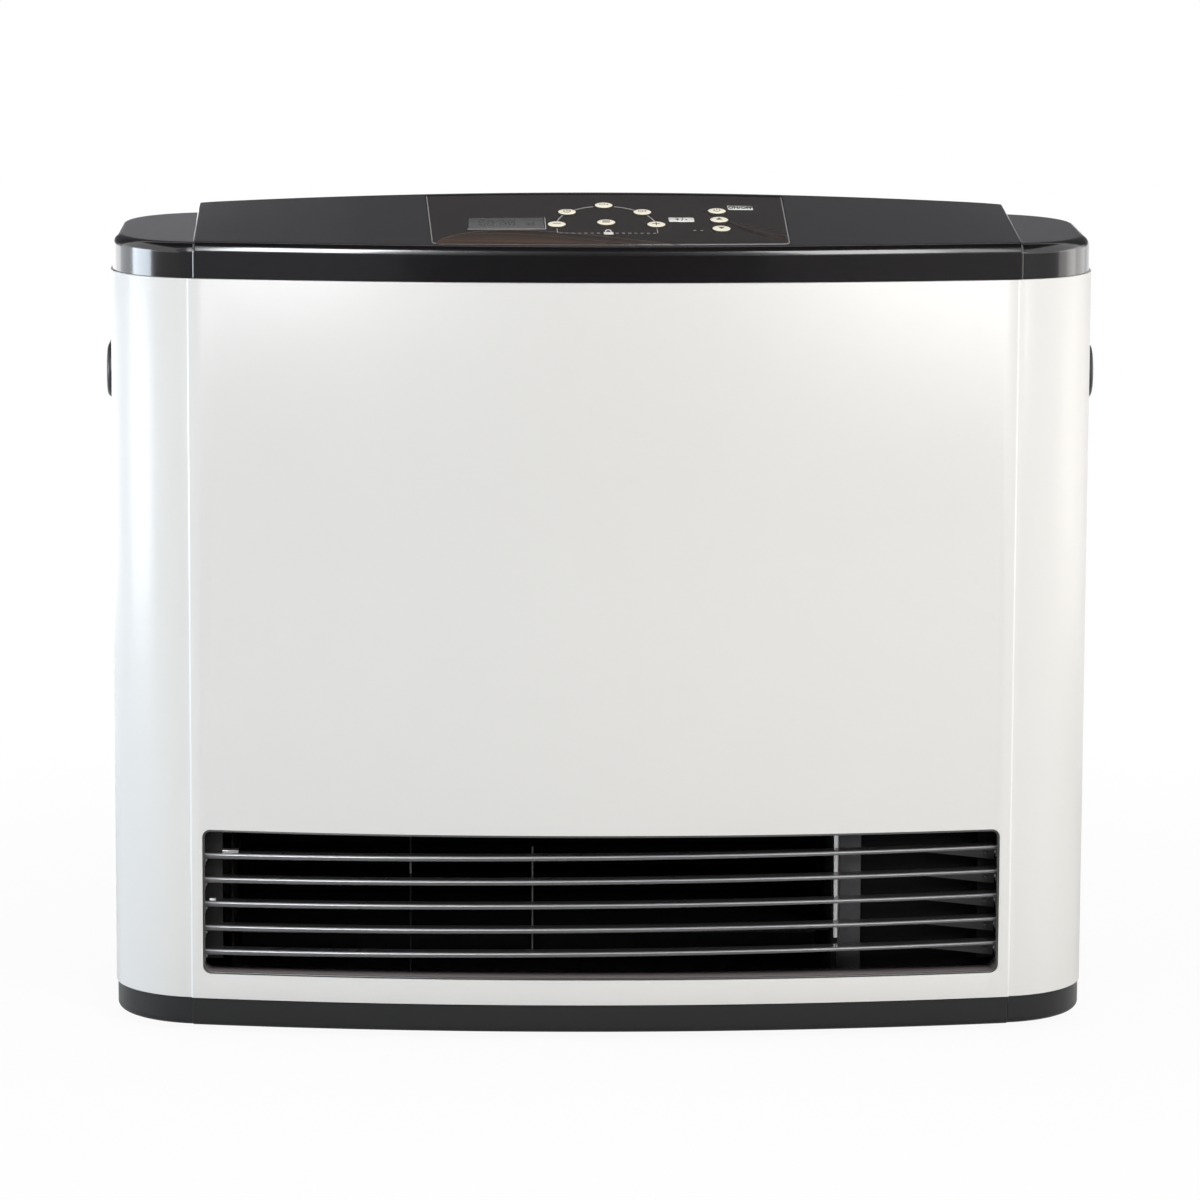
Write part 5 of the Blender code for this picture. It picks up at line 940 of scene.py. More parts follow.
def panel_stations(shrink):
    """Front and rear places along the control panel."""
    casing = bpy.context.scene.heater_casing
    controls = bpy.context.scene.heater_controls
    half = controls.half_width - shrink
    radius = controls.corner - shrink
    inner = half - radius
    turns = [radius * down for _, down in quarter(8)[1:]]
    offsets = [-half + turn for turn in reversed(turns)]
    offsets += [inner * i / 16 for i in range(-16, 17)]
    offsets += [half - turn for turn in turns]
    stations = []
    for offset in offsets:
        over = max(0.0, abs(offset) - inner)
        x = controls.centre + offset
        corner = radius - math.sqrt(max(0.0, radius ** 2 - over ** 2))
        front = bow_depth(x, casing.cap_inset + controls.setback + shrink) + corner
        rear_x = controls.centre + offset * (half + controls.flare) / half
        stations.append(((x, front), (rear_x, casing.depth - controls.rear_margin - shrink)))
    return stations


def panel_body(name, shrink, low, high, look="charcoal"):
    """A body over the control panel's plan, between two heights from the cap's surface."""
    return loft(name, [
        [on_panel(*front, low), on_panel(*front, high), on_panel(*rear, high), on_panel(*rear, low)]
        for front, rear in panel_stations(shrink)], look)


def make_cap():
    """The moulded cap: flat wings with a round nose, and the raised centre with the panel's recess."""
    casing = bpy.context.scene.heater_casing
    controls = bpy.context.scene.heater_controls
    cap = loft("top_cap_moulding", cap_side_rings(0.0))
    combine(cap, [hump_body("raised_centre", 0.0)], "UNION")
    seat = controls.recess + controls.thickness + casing.fit
    cutters = [
        loft("cap_hollow", cap_side_rings(casing.cap_wall)),
        hump_body("raised_hollow", casing.cap_wall),
        panel_body("panel_recess", 0.0, -seat, HOLE_REACH),
        panel_body("panel_cut", LEDGE_WIDTH, -LEDGE_DEPTH, 0.0),
    ]
    finish(even_normals(combine(cap, cutters, "DIFFERENCE", 28.0)), "charcoal_gloss", "top_cap")


def make_base():
    """The plinth with its chamfered foot, and four rubber feet."""
    casing, levels = casing_and_levels()
    inset, chamfer, step = casing.base_inset, casing.base_chamfer, casing.crease_step
    lip = 0.0006
    low = levels.base_low
    rings = [plan_ring(inset + chamfer * down, low + chamfer * back, step) for back, down in quarter(6)]
    rings += [plan_ring(inset, levels.base_top - lip, step), plan_ring(inset + lip, levels.base_top, step)]
    wall = casing.base_wall
    inside = [plan_ring(inset + wall, z + wall) for z in (low, levels.base_top)]
    base = loft("base_plinth_moulding", rings, "plinth")
    combine(base, [loft("plinth_hollow", inside, "plinth")], "DIFFERENCE", 28.0)
    finish(even_normals(base), "charcoal_satin", "base_plinth")

    reach = levels.half - casing.foot_margin
    feet = [
        [[at(x + radius * c, depth + radius * s, height) for c, s in circle(48)] for radius, height in FOOT]
        for x in (-reach, reach) for depth in (levels.corner_depth, casing.depth - casing.foot_margin)]
    finish(new_piece("rubber_feet", body_bmesh(*feet), "rubber"), "charcoal_satin")


# Controls

OVAL_STEPS, LAMP_STEPS, DOME_STEPS = 64, 32, 9
KEY_RIM = ((0.935, 0.42), (0.945, 0.45), (0.965, 0.43), (0.985, 0.36), (0.995, 0.27))


def key_places():
    """Middle of each key from its solid, as (x, depth)."""
    return {name: middle_of(name)[0][:2] for name in KEY_NAMES}


def oval_bmesh(place, rows, steps=OVAL_STEPS):
    """A closed oval body square to the slope, from (half width, half length, height) rows, top first."""
    turn = Matrix.Rotation(casing_and_levels()[1].slope, 3, "X")
    base = on_panel(*place)
    return body_bmesh([
        [base + turn @ Vector((width * c, long * s, height)) for c, s in circle(steps)]
        for width, long, height in rows])


def make_fascia():
    """The dark control panel with its holes for the keys, the window and the lamps."""
    casing, levels = casing_and_levels()
    controls = bpy.context.scene.heater_controls
    fascia = panel_body(
        "control_panel_film", casing.fit, -controls.recess - controls.thickness, -controls.recess, "panel")

    def hole(name, place, width, long, steps):
        rows = [(width + casing.fit, long + casing.fit, height) for height in (HOLE_REACH, -HOLE_REACH)]
        return new_piece(name + "_hole", oval_bmesh(place, rows, steps))

    cutters = [hole(name, place, controls.key_width / 2, controls.key_length / 2, OVAL_STEPS)
               for name, place in key_places().items()]
    x, depth = controls.window_x, controls.window_depth
    width, long = controls.window_width / 2, controls.window_length / 2
    cutters.append(box(
        "window_cut", (x - width, depth - long, levels.cap_top - HOLE_REACH),
        (x + width, depth + long, levels.cap_top + 0.02)))
    for name in INDICATOR_NAMES:
        place, half = middle_of(name)
        cutters.append(hole(name, place[:2], half[0], half[0], LAMP_STEPS))
    combine(fascia, cutters, "DIFFERENCE")
    finish(even_normals(bevel(fascia, 0.00025, 2, 60.0)), "fascia_black", "control_fascia")


def make_keys():
    """Domed oval keys with a thin gold rim, each on its own slide."""
    controls = bpy.context.scene.heater_controls
    top = controls.key_proud - controls.recess
    rows = []
    for k in range(DOME_STEPS + 1):
        out = 0.04 + 0.89 * k / DOME_STEPS
        rows.append((out, top * (1 - 0.72 * out ** 3.2)))
    rows += [(out, top * height) for out, height in KEY_RIM]
    wall = KEY_RIM[-1][0]
    rows += [(wall, -0.0006), (wall, -controls.key_foot)]
    rows = [(controls.key_width / 2 * out, controls.key_length / 2 * out, height) for out, height in rows]
    for name, place in key_places().items():
        bm = oval_bmesh(place, rows)
        bm.faces.ensure_lookup_table()
        for ring in range(DOME_STEPS + 1, len(rows) - 1):
            for i in range(OVAL_STEPS):
                bm.faces[ring * OVAL_STEPS + i].material_index = 1 if ring < len(rows) - 3 else 2
        key = new_piece(name + "_cap", bm, "key", "key_rim", "print_dark", smooth=50.0)
        finish(key, "key_cream", name, body=name)


# Prints on the control panel

INK = 0.00001
RAISED_INK = 0.0002
BAND_LAYER = 0.00006


def ribbon(bm, points, half_width, half_length, height):
    """A flat strip along points on the panel, its width given across and along the heater."""
    rows = []
    for i, (x, depth) in enumerate(points):
        before = points[max(0, i - 1)]
        after = points[min(len(points) - 1, i + 1)]
        along = Vector((after[0] - before[0], after[1] - before[1])).normalized()
        side = (-along.y * half_width, along.x * half_length)
        rows.append([
            bm.verts.new(on_panel(x + way * side[0], depth + way * side[1], height)) for way in (1, -1)])
    ring_faces(bm, rows, closed=False)


def shape(bm, points, height):
    """A flat filled outline on the panel."""
    bm.faces.new([bm.verts.new(on_panel(x, depth, height)) for x, depth in points])


def rounded(centre, half_width, half_length, radius_width, radius_length):
    """Outline of a rounded rectangle, its corners stretched along the heater."""
    points = []
    for sx, sd, start in ((1, 1, 0), (-1, 1, 90), (-1, -1, 180), (1, -1, 270)):
        for x, d in arc((0.0, 0.0), 1.0, start, start + 90, 6):
            points.append((
                centre[0] + sx * (half_width - radius_width) + x * radius_width,
                centre[1] + sd * (half_length - radius_length) + d * radius_length))
    return points


def letters(bm, words, centre, width_scale, length_scale, height, bold=0.0):
    """Generic words or numbers, laid flat on the panel."""
    curve = bpy.data.curves.new("letters", "FONT")
    curve.body = words
    curve.offset = bold
    curve.align_x = "CENTER"
    curve.align_y = "CENTER"
    curve.resolution_u = 3
    helper = link_object("letters", curve)
    mesh = plain_mesh(helper)
    places = [
        bm.verts.new(on_panel(centre[0] + v.co.x * width_scale, centre[1] + v.co.y * length_scale, height))
        for v in mesh.vertices]
    for face in mesh.polygons:
        bm.faces.new([places[i] for i in face.vertices])
    bpy.data.objects.remove(helper)
    bpy.data.meshes.remove(mesh)


def printed(name, bm, look, body="casing", slot_name="fascia_black"):
    """Ink: a flat mesh with a film's thickness."""
    for face in bm.faces:
        face.normal_update()
        if face.normal.z < 0:
            face.normal_flip()
    ink = new_piece(name, bm, look, outward=False)
    film = ink.modifiers.new("film", "SOLIDIFY")
    film.thickness = 0.00003
    film.offset = 1.0
    return finish(ink, slot_name, body=body)


def oval_arc(centre, width, long, degrees):
    """Points on an oval, at the given angles."""
    angles = [math.radians(a) for a in degrees]
    return [(centre[0] + width * math.cos(a), centre[1] + long * math.sin(a)) for a in angles]


def key_sign(name, place, height):
    """The dark sign on a key's top."""
    x, depth = place
    bm = bmesh.new()
    wide, long = 0.00035, 0.0010
    thin, reach, climb, row_step = 0.8, 0.0026, 0.0055, 0.0034

    def strip(points, width=wide, length_=long):
        ribbon(bm, [(x + dx, depth + dd) for dx, dd in points], width, length_, height)

    if name in ("key_plus", "key_minus"):
        strip([(-reach, 0.0), (reach, 0.0)])
        if name == "key_plus":
            strip([(0.0, -climb), (0.0, -long - RAISED_INK)])
            strip([(0.0, long + RAISED_INK), (0.0, climb)])
    elif name == "key_set_off":
        letters(bm, "OFF", place, 0.0036, 0.0088, height)
    elif name == "key_set_on":
        letters(bm, "ON", place, 0.0040, 0.0092, height)
    elif name == "key_clock":
        ribbon(bm, oval_arc(place, 0.0023, 0.0055, range(0, 361, 15)), wide * thin, long * thin, height)
        strip([(0.0, 0.0036), (0.0, 0.0), (0.0014, 0.0)], wide * thin, long * thin)
    elif name == "key_mode":
        for row in (-row_step, 0.0, row_step):
            strip([(-reach, row), (reach, row)], wide, long * thin)
    elif name == "key_power":
        ribbon(bm, oval_arc(place, 0.0021, 0.0050, range(50, -231, -20)), wide * thin, long * thin, height)
        strip([(0.0, 0.0006), (0.0, 0.0062)], wide * thin)
    else:
        way = 1 if name == "key_up" else -1
        tip = ((-0.0022, -0.0032), (0.0022, -0.0032), (0.0, 0.0045))
        shape(bm, [(x + dx, depth + way * dd) for dx, dd in tip], height)
    return printed(name + "_sign", bm, "print_dark", name, "key_cream")


def make_prints():
    """Lines, labels and signs printed on the control panel and on the keys."""
    controls = bpy.context.scene.heater_controls
    places = key_places()
    face = -controls.recess + INK
    for name, place in places.items():
        key_sign(name, place, controls.key_proud + face)

    left, right = places["key_minus"], places["key_plus"]
    centre = ((left[0] + right[0]) / 2, left[1])
    across = (right[0] - left[0]) / 2
    along = places["key_set_on"][1] - left[1]
    line = bmesh.new()
    for start, stop in ((8, 33), (50, 78), (102, 130), (147, 172)):
        degrees = [start + (stop - start) * k / 12 for k in range(13)]
        ribbon(line, oval_arc(centre, across, along, degrees), 0.00042, 0.0013, face)
    printed("arc_line", line, "print_grey")

    dashes = bmesh.new()
    row = centre[1] - 0.0335
    step = 2 * across / 16
    for k in range(16):
        x = left[0] + step * (k + 0.25)
        if abs(x + step * 0.25 - centre[0]) >= 0.0056:
            ribbon(dashes, [(x, row), (x + step * 0.5, row)], 0.0004, 0.0011, face + RAISED_INK)
    for x in (left[0], right[0]):
        ribbon(dashes, [(x, row + 0.001), (x, row + 0.0195)], 0.0003, 0.0011, face + RAISED_INK)
    printed("dashed_line", dashes, "print_grey")

    lock = bmesh.new()
    x = centre[0] + 0.0006
    shape(lock, rounded((x, row + 0.001), 0.0032, 0.0052, 0.0005, 0.0014), face)
    ribbon(lock, oval_arc((x, row + 0.0075), 0.0019, 0.0075, range(0, 181, 15)), 0.00045, 0.0011, face)
    printed("lock_sign", lock, "print")

    plates, words = bmesh.new(), bmesh.new()
    for label, middle in (("+ / -", (0.0545, 0.1165)), ("ON/OFF", (0.0968, 0.1705))):
        shape(plates, rounded(middle, 0.0086, 0.0088, 0.0009, 0.0026), face)
        letters(words, label, middle, 0.0046, 0.0155, face + RAISED_INK, 0.03)
    printed("label_plates", plates, "print")
    printed("label_words", words, "print_dark")
    make_panel_bands(face)
    make_panel_edge(face)


def make_panel_bands(face):
    """Sweeping bronze bands at the panel's lower left and right."""
    controls = bpy.context.scene.heater_controls
    left = controls.centre - controls.half_width + 0.003
    edge = bpy.context.scene.heater_casing.cap_inset + controls.setback + 0.003
    for level, (word, inset, reach, rise, width, look, lean) in enumerate((
        ("wide", 0.0, 0.160, 0.056, 0.0, "bronze_dim", 0.60),
        ("middle", 0.0, 0.126, 0.042, 0.0, "bronze", 0.55),
        ("edge", 0.0, 0.162, 0.059, 0.0024, "bronze_light", 0.60),
        ("inner", 0.002, 0.136, 0.045, 0.0020, "bronze_light", 0.55),
    )):
        height = face + level * BAND_LAYER
        rows = []
        for k in range(61):
            x = left + inset + (reach - inset) * k / 60
            arch = rise * math.sin(math.pi * (k / 60) ** lean)
            base = bow_depth(x, edge)
            low = base + max(0.0, arch - width) if width else base
            rows.append([on_panel(x, low, height), on_panel(x, base + max(arch, 0.0004), height)])
        printed("bronze_band_" + word, skin_bmesh(rows), look)

    right = controls.centre + controls.half_width
    for level, (word, wide, look) in enumerate((
        ("outer", 0.019, "bronze_faint"), ("inner", 0.008, "bronze_dim"),
    )):
        rows = []
        for k in range(31):
            t = k / 30
            depth = 0.052 + 0.100 * t ** 1.6
            reach = wide * (1 - 0.75 * t)
            rows.append([
                on_panel(right - 0.002 - 0.050 * t, depth + way * reach, face + level * BAND_LAYER)
                for way in (-1, 1)])
        printed("bronze_band_right_" + word, skin_bmesh(rows), look)


def make_panel_edge(face):
    """A pale strip along the control panel's edge, open at the rear: a painted highlight for the light on the
    panel's bevelled edge.
    """
    stations = panel_stations(0.0009)
    fronts = [(x, depth + 0.0030) for (x, depth), _ in stations]
    path = between(stations[0][1], fronts[0], 8) + fronts
    path += list(reversed(between(stations[-1][1], fronts[-1], 8)))
    bm = bmesh.new()
    ribbon(bm, path, 0.00036, 0.0026, face)
    printed("panel_edge", bm, "panel_edge")


def make_display():
    """The tinted pane and the faint digits under its face."""
    controls = bpy.context.scene.heater_controls
    dress("display_window", "window", "window_grey", 0.0002)
    face = -controls.recess + INK
    x, depth = controls.window_x, controls.window_depth
    bm = bmesh.new()
    letters(bm, "88:88", (x - 0.0062, depth), 0.0118, 0.034, face)
    letters(bm, "88", (x + 0.0165, depth - 0.004), 0.0066, 0.020, face)
    printed("display_digits", bm, "digits", slot_name="window_grey")
    wide = controls.window_width / 2 + 0.0006
    long = controls.window_length / 2 + 0.0018
    bm = bmesh.new()
    ribbon(bm, [(x - wide, depth - long), (x + wide, depth - long)], 0.0003, 0.0014, face)
    ribbon(bm, [(x + wide, depth - long), (x + wide, depth + long)], 0.00035, 0.001, face)
    printed("window_outline", bm, "print_grey")


# Geometry Nodes

def geometry_tree(name, sockets):
    """A modifier tree with named inputs, given as name and kind of socket."""
    tree = bpy.data.node_groups.new(name, "GeometryNodeTree")
    tree.is_modifier = True
    for label, kind in (("Geometry", "Geometry"), *sockets.items(), ("Material", "Material")):
        tree.interface.new_socket(label, in_out="INPUT", socket_type="NodeSocket" + kind)
    tree.interface.new_socket("Geometry", in_out="OUTPUT", socket_type="NodeSocketGeometry")
    return tree, tree.nodes.new("NodeGroupInput").outputs


def run_tree(made, tree, look, **values):
    """Adds the tree to a piece, sets its inputs by their identifiers and keeps the result as plain mesh."""
    values = {key.replace("_", " "): value for key, value in values.items()}
    values["Material"] = LOOKS[look]
    step = made.modifiers.new(tree.name, "NODES")
    step.node_group = tree
    for item in tree.interface.items_tree:
        if item.item_type == "SOCKET" and item.in_out == "INPUT" and item.name in values:
            step[item.identifier] = values[item.name]
    return settle(made)


def repeat(tree, given, points, instance, **inputs):
    """Ends a tree: an instance on each point, as real meshes with one material."""
    placed = node(tree, "GeometryNodeInstanceOnPoints", {"Points": points, "Instance": instance, **inputs})
    real = node(tree, "GeometryNodeRealizeInstances", {"Geometry": placed.outputs[0]})
    coloured = node(tree, "GeometryNodeSetMaterial", {
        "Geometry": real.outputs[0], "Material": given["Material"]})
    leave = tree.nodes.new("NodeGroupOutput")
    tree.links.new(coloured.outputs[0], leave.inputs["Geometry"])
    return tree


def bowed_rows_tree():
    """Bends one straight bar to the bow of the front and repeats it in rows."""
    tree, given = geometry_tree("bowed_rows", {
        "Rows": "Int", "Pitch": "Float", "Top": "Float", "Face Radius": "Float", "Centre Y": "Float",
        "Lean": "Float"})
    x, y, z = parts_of(tree, node(tree, "GeometryNodeInputPosition").outputs[0])
    radius = maths(tree, "SUBTRACT", given["Face Radius"], y)
    rest = maths(tree, "SUBTRACT", maths(tree, "MULTIPLY", radius, radius), maths(tree, "MULTIPLY", x, x))
    bowed = maths(tree, "SUBTRACT", given["Centre Y"], maths(tree, "SQRT", rest))
    lifted = maths(tree, "ADD", z, maths(tree, "MULTIPLY", x, given["Lean"]))
    bent = node(tree, "GeometryNodeSetPosition", {
        "Geometry": given["Geometry"], "Position": combined(tree, X=x, Y=bowed, Z=lifted)})
    rows = node(tree, "GeometryNodeMeshLine", {
        "Count": given["Rows"], "Start Location": combined(tree, Z=given["Top"]),
        "Offset": combined(tree, Z=maths(tree, "MULTIPLY", given["Pitch"], -1.0))}, mode="OFFSET")
    return repeat(tree, given, rows.outputs[0], bent.outputs[0])


def fasteners_tree():
    """Sets one fastener on every point of the piece."""
    tree, given = geometry_tree("fasteners", {"Fastener": "Object"})
    picked = node(tree, "GeometryNodeObjectInfo", {"Object": given["Fastener"], "As Instance": True})
    return repeat(tree, given, given["Geometry"], picked.outputs["Geometry"])


def ring_tree():
    """Repeats one blade round the fan's axis."""
    tree, given = geometry_tree("blade_ring", {"Count": "Int", "Axis Y": "Float", "Axis Z": "Float"})
    points = node(tree, "GeometryNodeMeshLine", {
        "Count": given["Count"], "Start Location": combined(tree, Y=given["Axis Y"], Z=given["Axis Z"]),
        "Offset": (0.0, 0.0, 0.0)}, mode="OFFSET")
    turn = maths(
        tree, "MULTIPLY", node(tree, "GeometryNodeInputIndex").outputs[0],
        maths(tree, "DIVIDE", math.tau, given["Count"]))
    return repeat(tree, given, points.outputs[0], given["Geometry"], Rotation=combined(tree, X=turn))


def fastener_mesh(name, profile, direction, steps=20):
    """A small turned head at the origin, from (radius, height) rows, foot first."""
    turn = Vector(direction).to_track_quat("Z", "Y")
    rings = [
        [turn @ Vector((radius * c, radius * s, height)) for c, s in circle(steps)]
        for radius, height in profile]
    return new_piece(name, body_bmesh(rings))


def fastened(name, places, fastener, look):
    """A piece made of one fastener at each place, after which the helper is removed."""
    mesh = bpy.data.meshes.new(name)
    mesh.from_pydata([tuple(p) for p in places], [], [])
    made = link_object(name, mesh)
    run_tree(made, bpy.data.node_groups.get("fasteners") or fasteners_tree(), look, Fastener=fastener)
    bpy.data.objects.remove(fastener)
    return finish(sharpen(made, 35.0), "steel")


# Warm air outlet

RIVET = ((0.0019, -0.0004), (0.0019, 0.0003), (0.0016, 0.0008), (0.0010, 0.0011), (0.0002, 0.0012))
TAB_LENGTH, TAB_DROP = 0.010, 0.008
TAB_RIVET = (0.0055, 0.0048)
GUSSET_BEHIND, GUSSET_SHEET = 0.0085, 0.0008
GUSSET_RIVET = ((0.0016, -0.0006), (0.0016, 0.0003), (0.0013, 0.0008), (0.0006, 0.0010))


def blade_bar():
    """One straight blade with its rolled front edge and an end tab each side."""
    outlet = bpy.context.scene.heater_outlet
    fit = bpy.context.scene.heater_casing.fit
    half = outlet.half_width - fit
    hem, web = outlet.hem / 2, outlet.blade_sheet / 2
    section = [(hem - u, -v) for u, v in arc((0.0, 0.0), hem, -148, 148, 12)]
    section += [(hem * 2.6, -web), (outlet.blade_depth, -web), (outlet.blade_depth, web), (hem * 2.6, web)]
    stations = 44
    rings = []
    for i in range(stations + 1):
        x = half * (2 * i / stations - 1)
        thick = 1 - outlet.blade_taper * x / half
        rings.append([Vector((x, outlet.blade_setback + u, v * thick)) for u, v in section])
    bm = body_bmesh(rings)
    back = outlet.blade_setback + outlet.blade_depth - fit
    for side in (-1, 1):
        ends = (side * half, side * (half - outlet.blade_sheet))
        add_cube(bm, Vector((min(ends), back - TAB_LENGTH, -TAB_DROP)), Vector((max(ends), back, -web * 0.5)))
    return bm


def make_blades():
    """Five bowed blades as one piece, and the rivets of their end tabs."""
    casing = bpy.context.scene.heater_casing
    outlet = bpy.context.scene.heater_outlet
    blades = bevel(new_piece("louvre_blades", blade_bar(), "louvre"), 0.0003, 2, 40.0)
    names = [f"louvre_blade_{n}" for n in range(1, outlet.blades + 1)]
    heights = [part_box(name)[1][2] - outlet.hem / 2 for name in names]
    run_tree(
        blades, bowed_rows_tree(), "louvre", Rows=outlet.blades,
        Pitch=(heights[0] - heights[-1]) / (outlet.blades - 1), Top=heights[0],
        Face_Radius=casing.bow_radius + casing.crease_step, Centre_Y=front_y() + casing.bow_radius,
        Lean=outlet.blade_lean)
    sharpen(blades, 40.0)
    # Faces of the rolled edges that look up and forward take a lighter metal than the black paint: a painted
    # highlight along each blade's upper edge.
    blades.data.materials.append(LOOKS["louvre_top_highlight"])
    for face in blades.data.polygons:
        if face.normal.z > 0.35 and face.normal.y < -0.25:
            face.material_index = 1
    finish(blades, "black_paint", *names)
    half = outlet.half_width - casing.fit
    back = bow_depth(half, outlet.blade_setback + outlet.blade_depth)
    for word, side in (("left", -1), ("right", 1)):
        x = side * (half - outlet.blade_sheet)
        places = [at(x, back - TAB_RIVET[0], z + x * outlet.blade_lean - TAB_RIVET[1]) for z in heights]
        fastened(f"blade_rivets_{word}", places, fastener_mesh("rivet", RIVET, (-side, 0, 0)), "dull_steel")
    return heights


def outlet_ring(outward, behind):
    """A ring round the opening, a distance outward from it and behind the bowed face."""
    outlet = bpy.context.scene.heater_outlet
    radius = outlet.corner + outward
    top = outlet.height / 2 + outward
    inner = outlet.half_width + outward - radius
    points = arc((inner, top - radius), radius, 0, 90, 8)
    points += [(inner * (1 - 2 * i / 36), top) for i in range(1, 36)]
    points += arc((-inner, top - radius), radius, 90, 180, 8)
    points += [(-x, -z) for x, z in points]
    return [at(x, bow_depth(x, behind), outlet_middle() + z) for x, z in points]


def make_outlet_frame():
    """The frame behind the opening with its lip, and two upright guard wires."""
    casing = bpy.context.scene.heater_casing
    outlet = bpy.context.scene.heater_outlet
    rows = [outlet_ring(outward, behind) for outward, behind in (
        (outlet.frame_lip, casing.sheet + casing.fit), (0.0008, casing.sheet + casing.fit),
        (0.0002, casing.sheet + 0.0006), (0.0, casing.sheet + 0.0012), (0.0, outlet.frame_depth))]
    surround = new_piece("outlet_surround", skin_bmesh(rows, True), "surround", smooth=40.0, outward=False)
    finish(thickened(surround, 0.001), "black_paint", "louvre_frame")

    low = outlet_middle() - outlet.height / 2
    high = low + outlet.height
    # The left wire's short lighter part and the whole right wire take a lighter grey than the black wire
    # paint: a painted highlight for the light on these wires.
    for name, x, radius, start, end, look in (
        ("guard_wire_left", -0.1285, 0.0006, low, high, "wire"),
        ("guard_wire_left_sleeve", -0.1285, 0.0007, high - 0.0311, high - 0.0186, "lit_wire"),
        ("guard_wire_right", -0.0465, 0.0005, low + 0.012, high - 0.012, "lit_wire"),
    ):
        depth = bow_depth(x, outlet.blade_setback + outlet.blade_depth) + 0.001
        finish(rod(name, (x, depth, start), (x, depth, end), radius, look), "black_paint")


def make_outlet_bead():
    """A thin rolled bead on the frame, just inside the edge of the painted sheet."""
    bead = bpy.context.scene.heater_outlet.bead
    sheet = bpy.context.scene.heater_casing.sheet
    bm = bmesh.new()
    hoop(bm, [outlet_ring(-bead + bead * c, sheet + 0.0002 + bead * s) for c, s in circle(8)])
    finish(new_piece("outlet_bead", bm, "bead"), "black_paint")


def make_gussets(heights):
    """Tapered stiffeners bent down under the right-hand end of each blade, each with a rivet."""
    outlet = bpy.context.scene.heater_outlet
    outer = outlet.half_width - 0.0022
    behind = outlet.blade_setback + GUSSET_BEHIND
    bodies, rivets = [], []
    for z in heights:
        rows = []
        for k in range(13):
            t = k / 12
            x = outer - outlet.gusset_length * t
            drop = outlet.gusset_drop * (1 - t) ** 1.15 + 0.0004
            depth = bow_depth(x, behind)
            foot = depth + 0.35 * drop
            top = z + x * outlet.blade_lean - outlet.blade_sheet / 2 + 0.0002
            rows.append([
                at(x, depth, top), at(x, foot, top - drop), at(x, foot + GUSSET_SHEET, top - drop),
                at(x, depth + GUSSET_SHEET, top)])
        bodies.append(rows)
        x = outer - 0.0062
        rivets.append(at(x, bow_depth(x, behind) + 0.0016, z + x * outlet.blade_lean - 0.0054))
    finish(new_piece("blade_gussets", body_bmesh(*bodies), "gusset"), "black_paint")
    fastened("gusset_rivets", rivets, fastener_mesh("gusset_rivet", GUSSET_RIVET, (0, -1, -0.35)), "gusset")


def make_duct_strip():
    """The rolled edge of the wall between the fan duct and the control bay, in a metal far brighter than the
    wall: a painted highlight.
    """
    outlet = bpy.context.scene.heater_outlet
    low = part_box("divider_wall")[0]
    bottom = PANEL_LOW[2] + outlet.rise
    x, depth = low[0] - 0.0010, low[1] - front_y() - 0.0022
    strip = rod(
        "duct_strip_rod", (x, depth, bottom + 0.018), (x, depth, bottom + outlet.height - 0.008), 0.0019,
        "bright_strip")
    finish(strip, "zinc")


def make_outlet_details(heights):
    """Brackets behind the blade ends, and small clips in bright metal: a painted highlight where the light
    catches the blade ends.
    """
    outlet = bpy.context.scene.heater_outlet
    make_outlet_bead()
    make_gussets(heights)
    make_duct_strip()
    # The left bracket is galvanised but takes the dark grey tab look: painted shade.
    dress("louvre_bracket_left", "tab_zinc_shade", "zinc")
    # The right bracket is galvanised but takes the near-black duct look: painted shade.
    dress("louvre_bracket_right", "duct", "zinc")
    # The clips take the bright strip metal: a painted highlight on the blades' upper ends.
    for word, row, inset, size, round_by in (
        ("top", 0, 0.013, (0.0110, 0.007, 0.0024), 0.0003),
        ("middle", 2, 0.004, (0.0046, 0.005, 0.0019), 0.0004),
    ):
        x = inset - outlet.half_width
        top = heights[row] + x * outlet.blade_lean + outlet.blade_sheet / 2
        depth = bow_depth(x, outlet.blade_setback + 0.0062)
        finish(box(
            "blade_clip_" + word, (x, depth, top + 0.0001), (x + size[0], depth + size[1], top + size[2]),
            "bright_strip", round_by=round_by), "zinc")


# Rear and grips

SCREW = ((0.0038, -0.0008), (0.0038, 0.0003), (0.0034, 0.0012), (0.0024, 0.0019), (0.0010, 0.0022))
GRIP_RIM, GRIP_WALL, GRIP_DEPTH, GRIP_CORNER = 0.007, 0.002, 0.026, 0.004
CROSS_WIDTH, CROSS_REACH, CROSS_FOOT, CROSS_TOP = 0.0006, 0.0023, 0.0010, 0.0034


def make_rear_panel():
    """The rear sheet with its round corners, intake windows and service holes."""
    casing, levels = casing_and_levels()

    def path(inset):
        half = [(levels.half - inset, casing.seam_depth + casing.fit)] + rear_half(inset)
        return half + [(-x, d) for x, d in reversed(half)]

    panel = folded_sheet("rear_panel_skin", path, "rear_paint")
    near, far = casing.depth - CUT_REACH, casing.depth + CUT_REACH
    cutters = []
    for name in ("filter_mesh_left", "filter_mesh_right"):
        low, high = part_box(name)
        cutters.append(box(
            "intake_cut", (low[0] - casing.fit, near, casing.intake_low),
            (high[0] + casing.fit, far, casing.intake_high)))
    for name, ratio in (("gas_inlet_union", 1.0), ("cord_gland", 0.8)):
        (x, _, z), half = middle_of(name)
        cutters.append(rod("service_cut", (x, near, z), (x, far, z), half[0] * ratio, "rear_paint", 40))
    finish(cut_sheet(panel, cutters, 0.3), "grey_paint", "rear_panel")


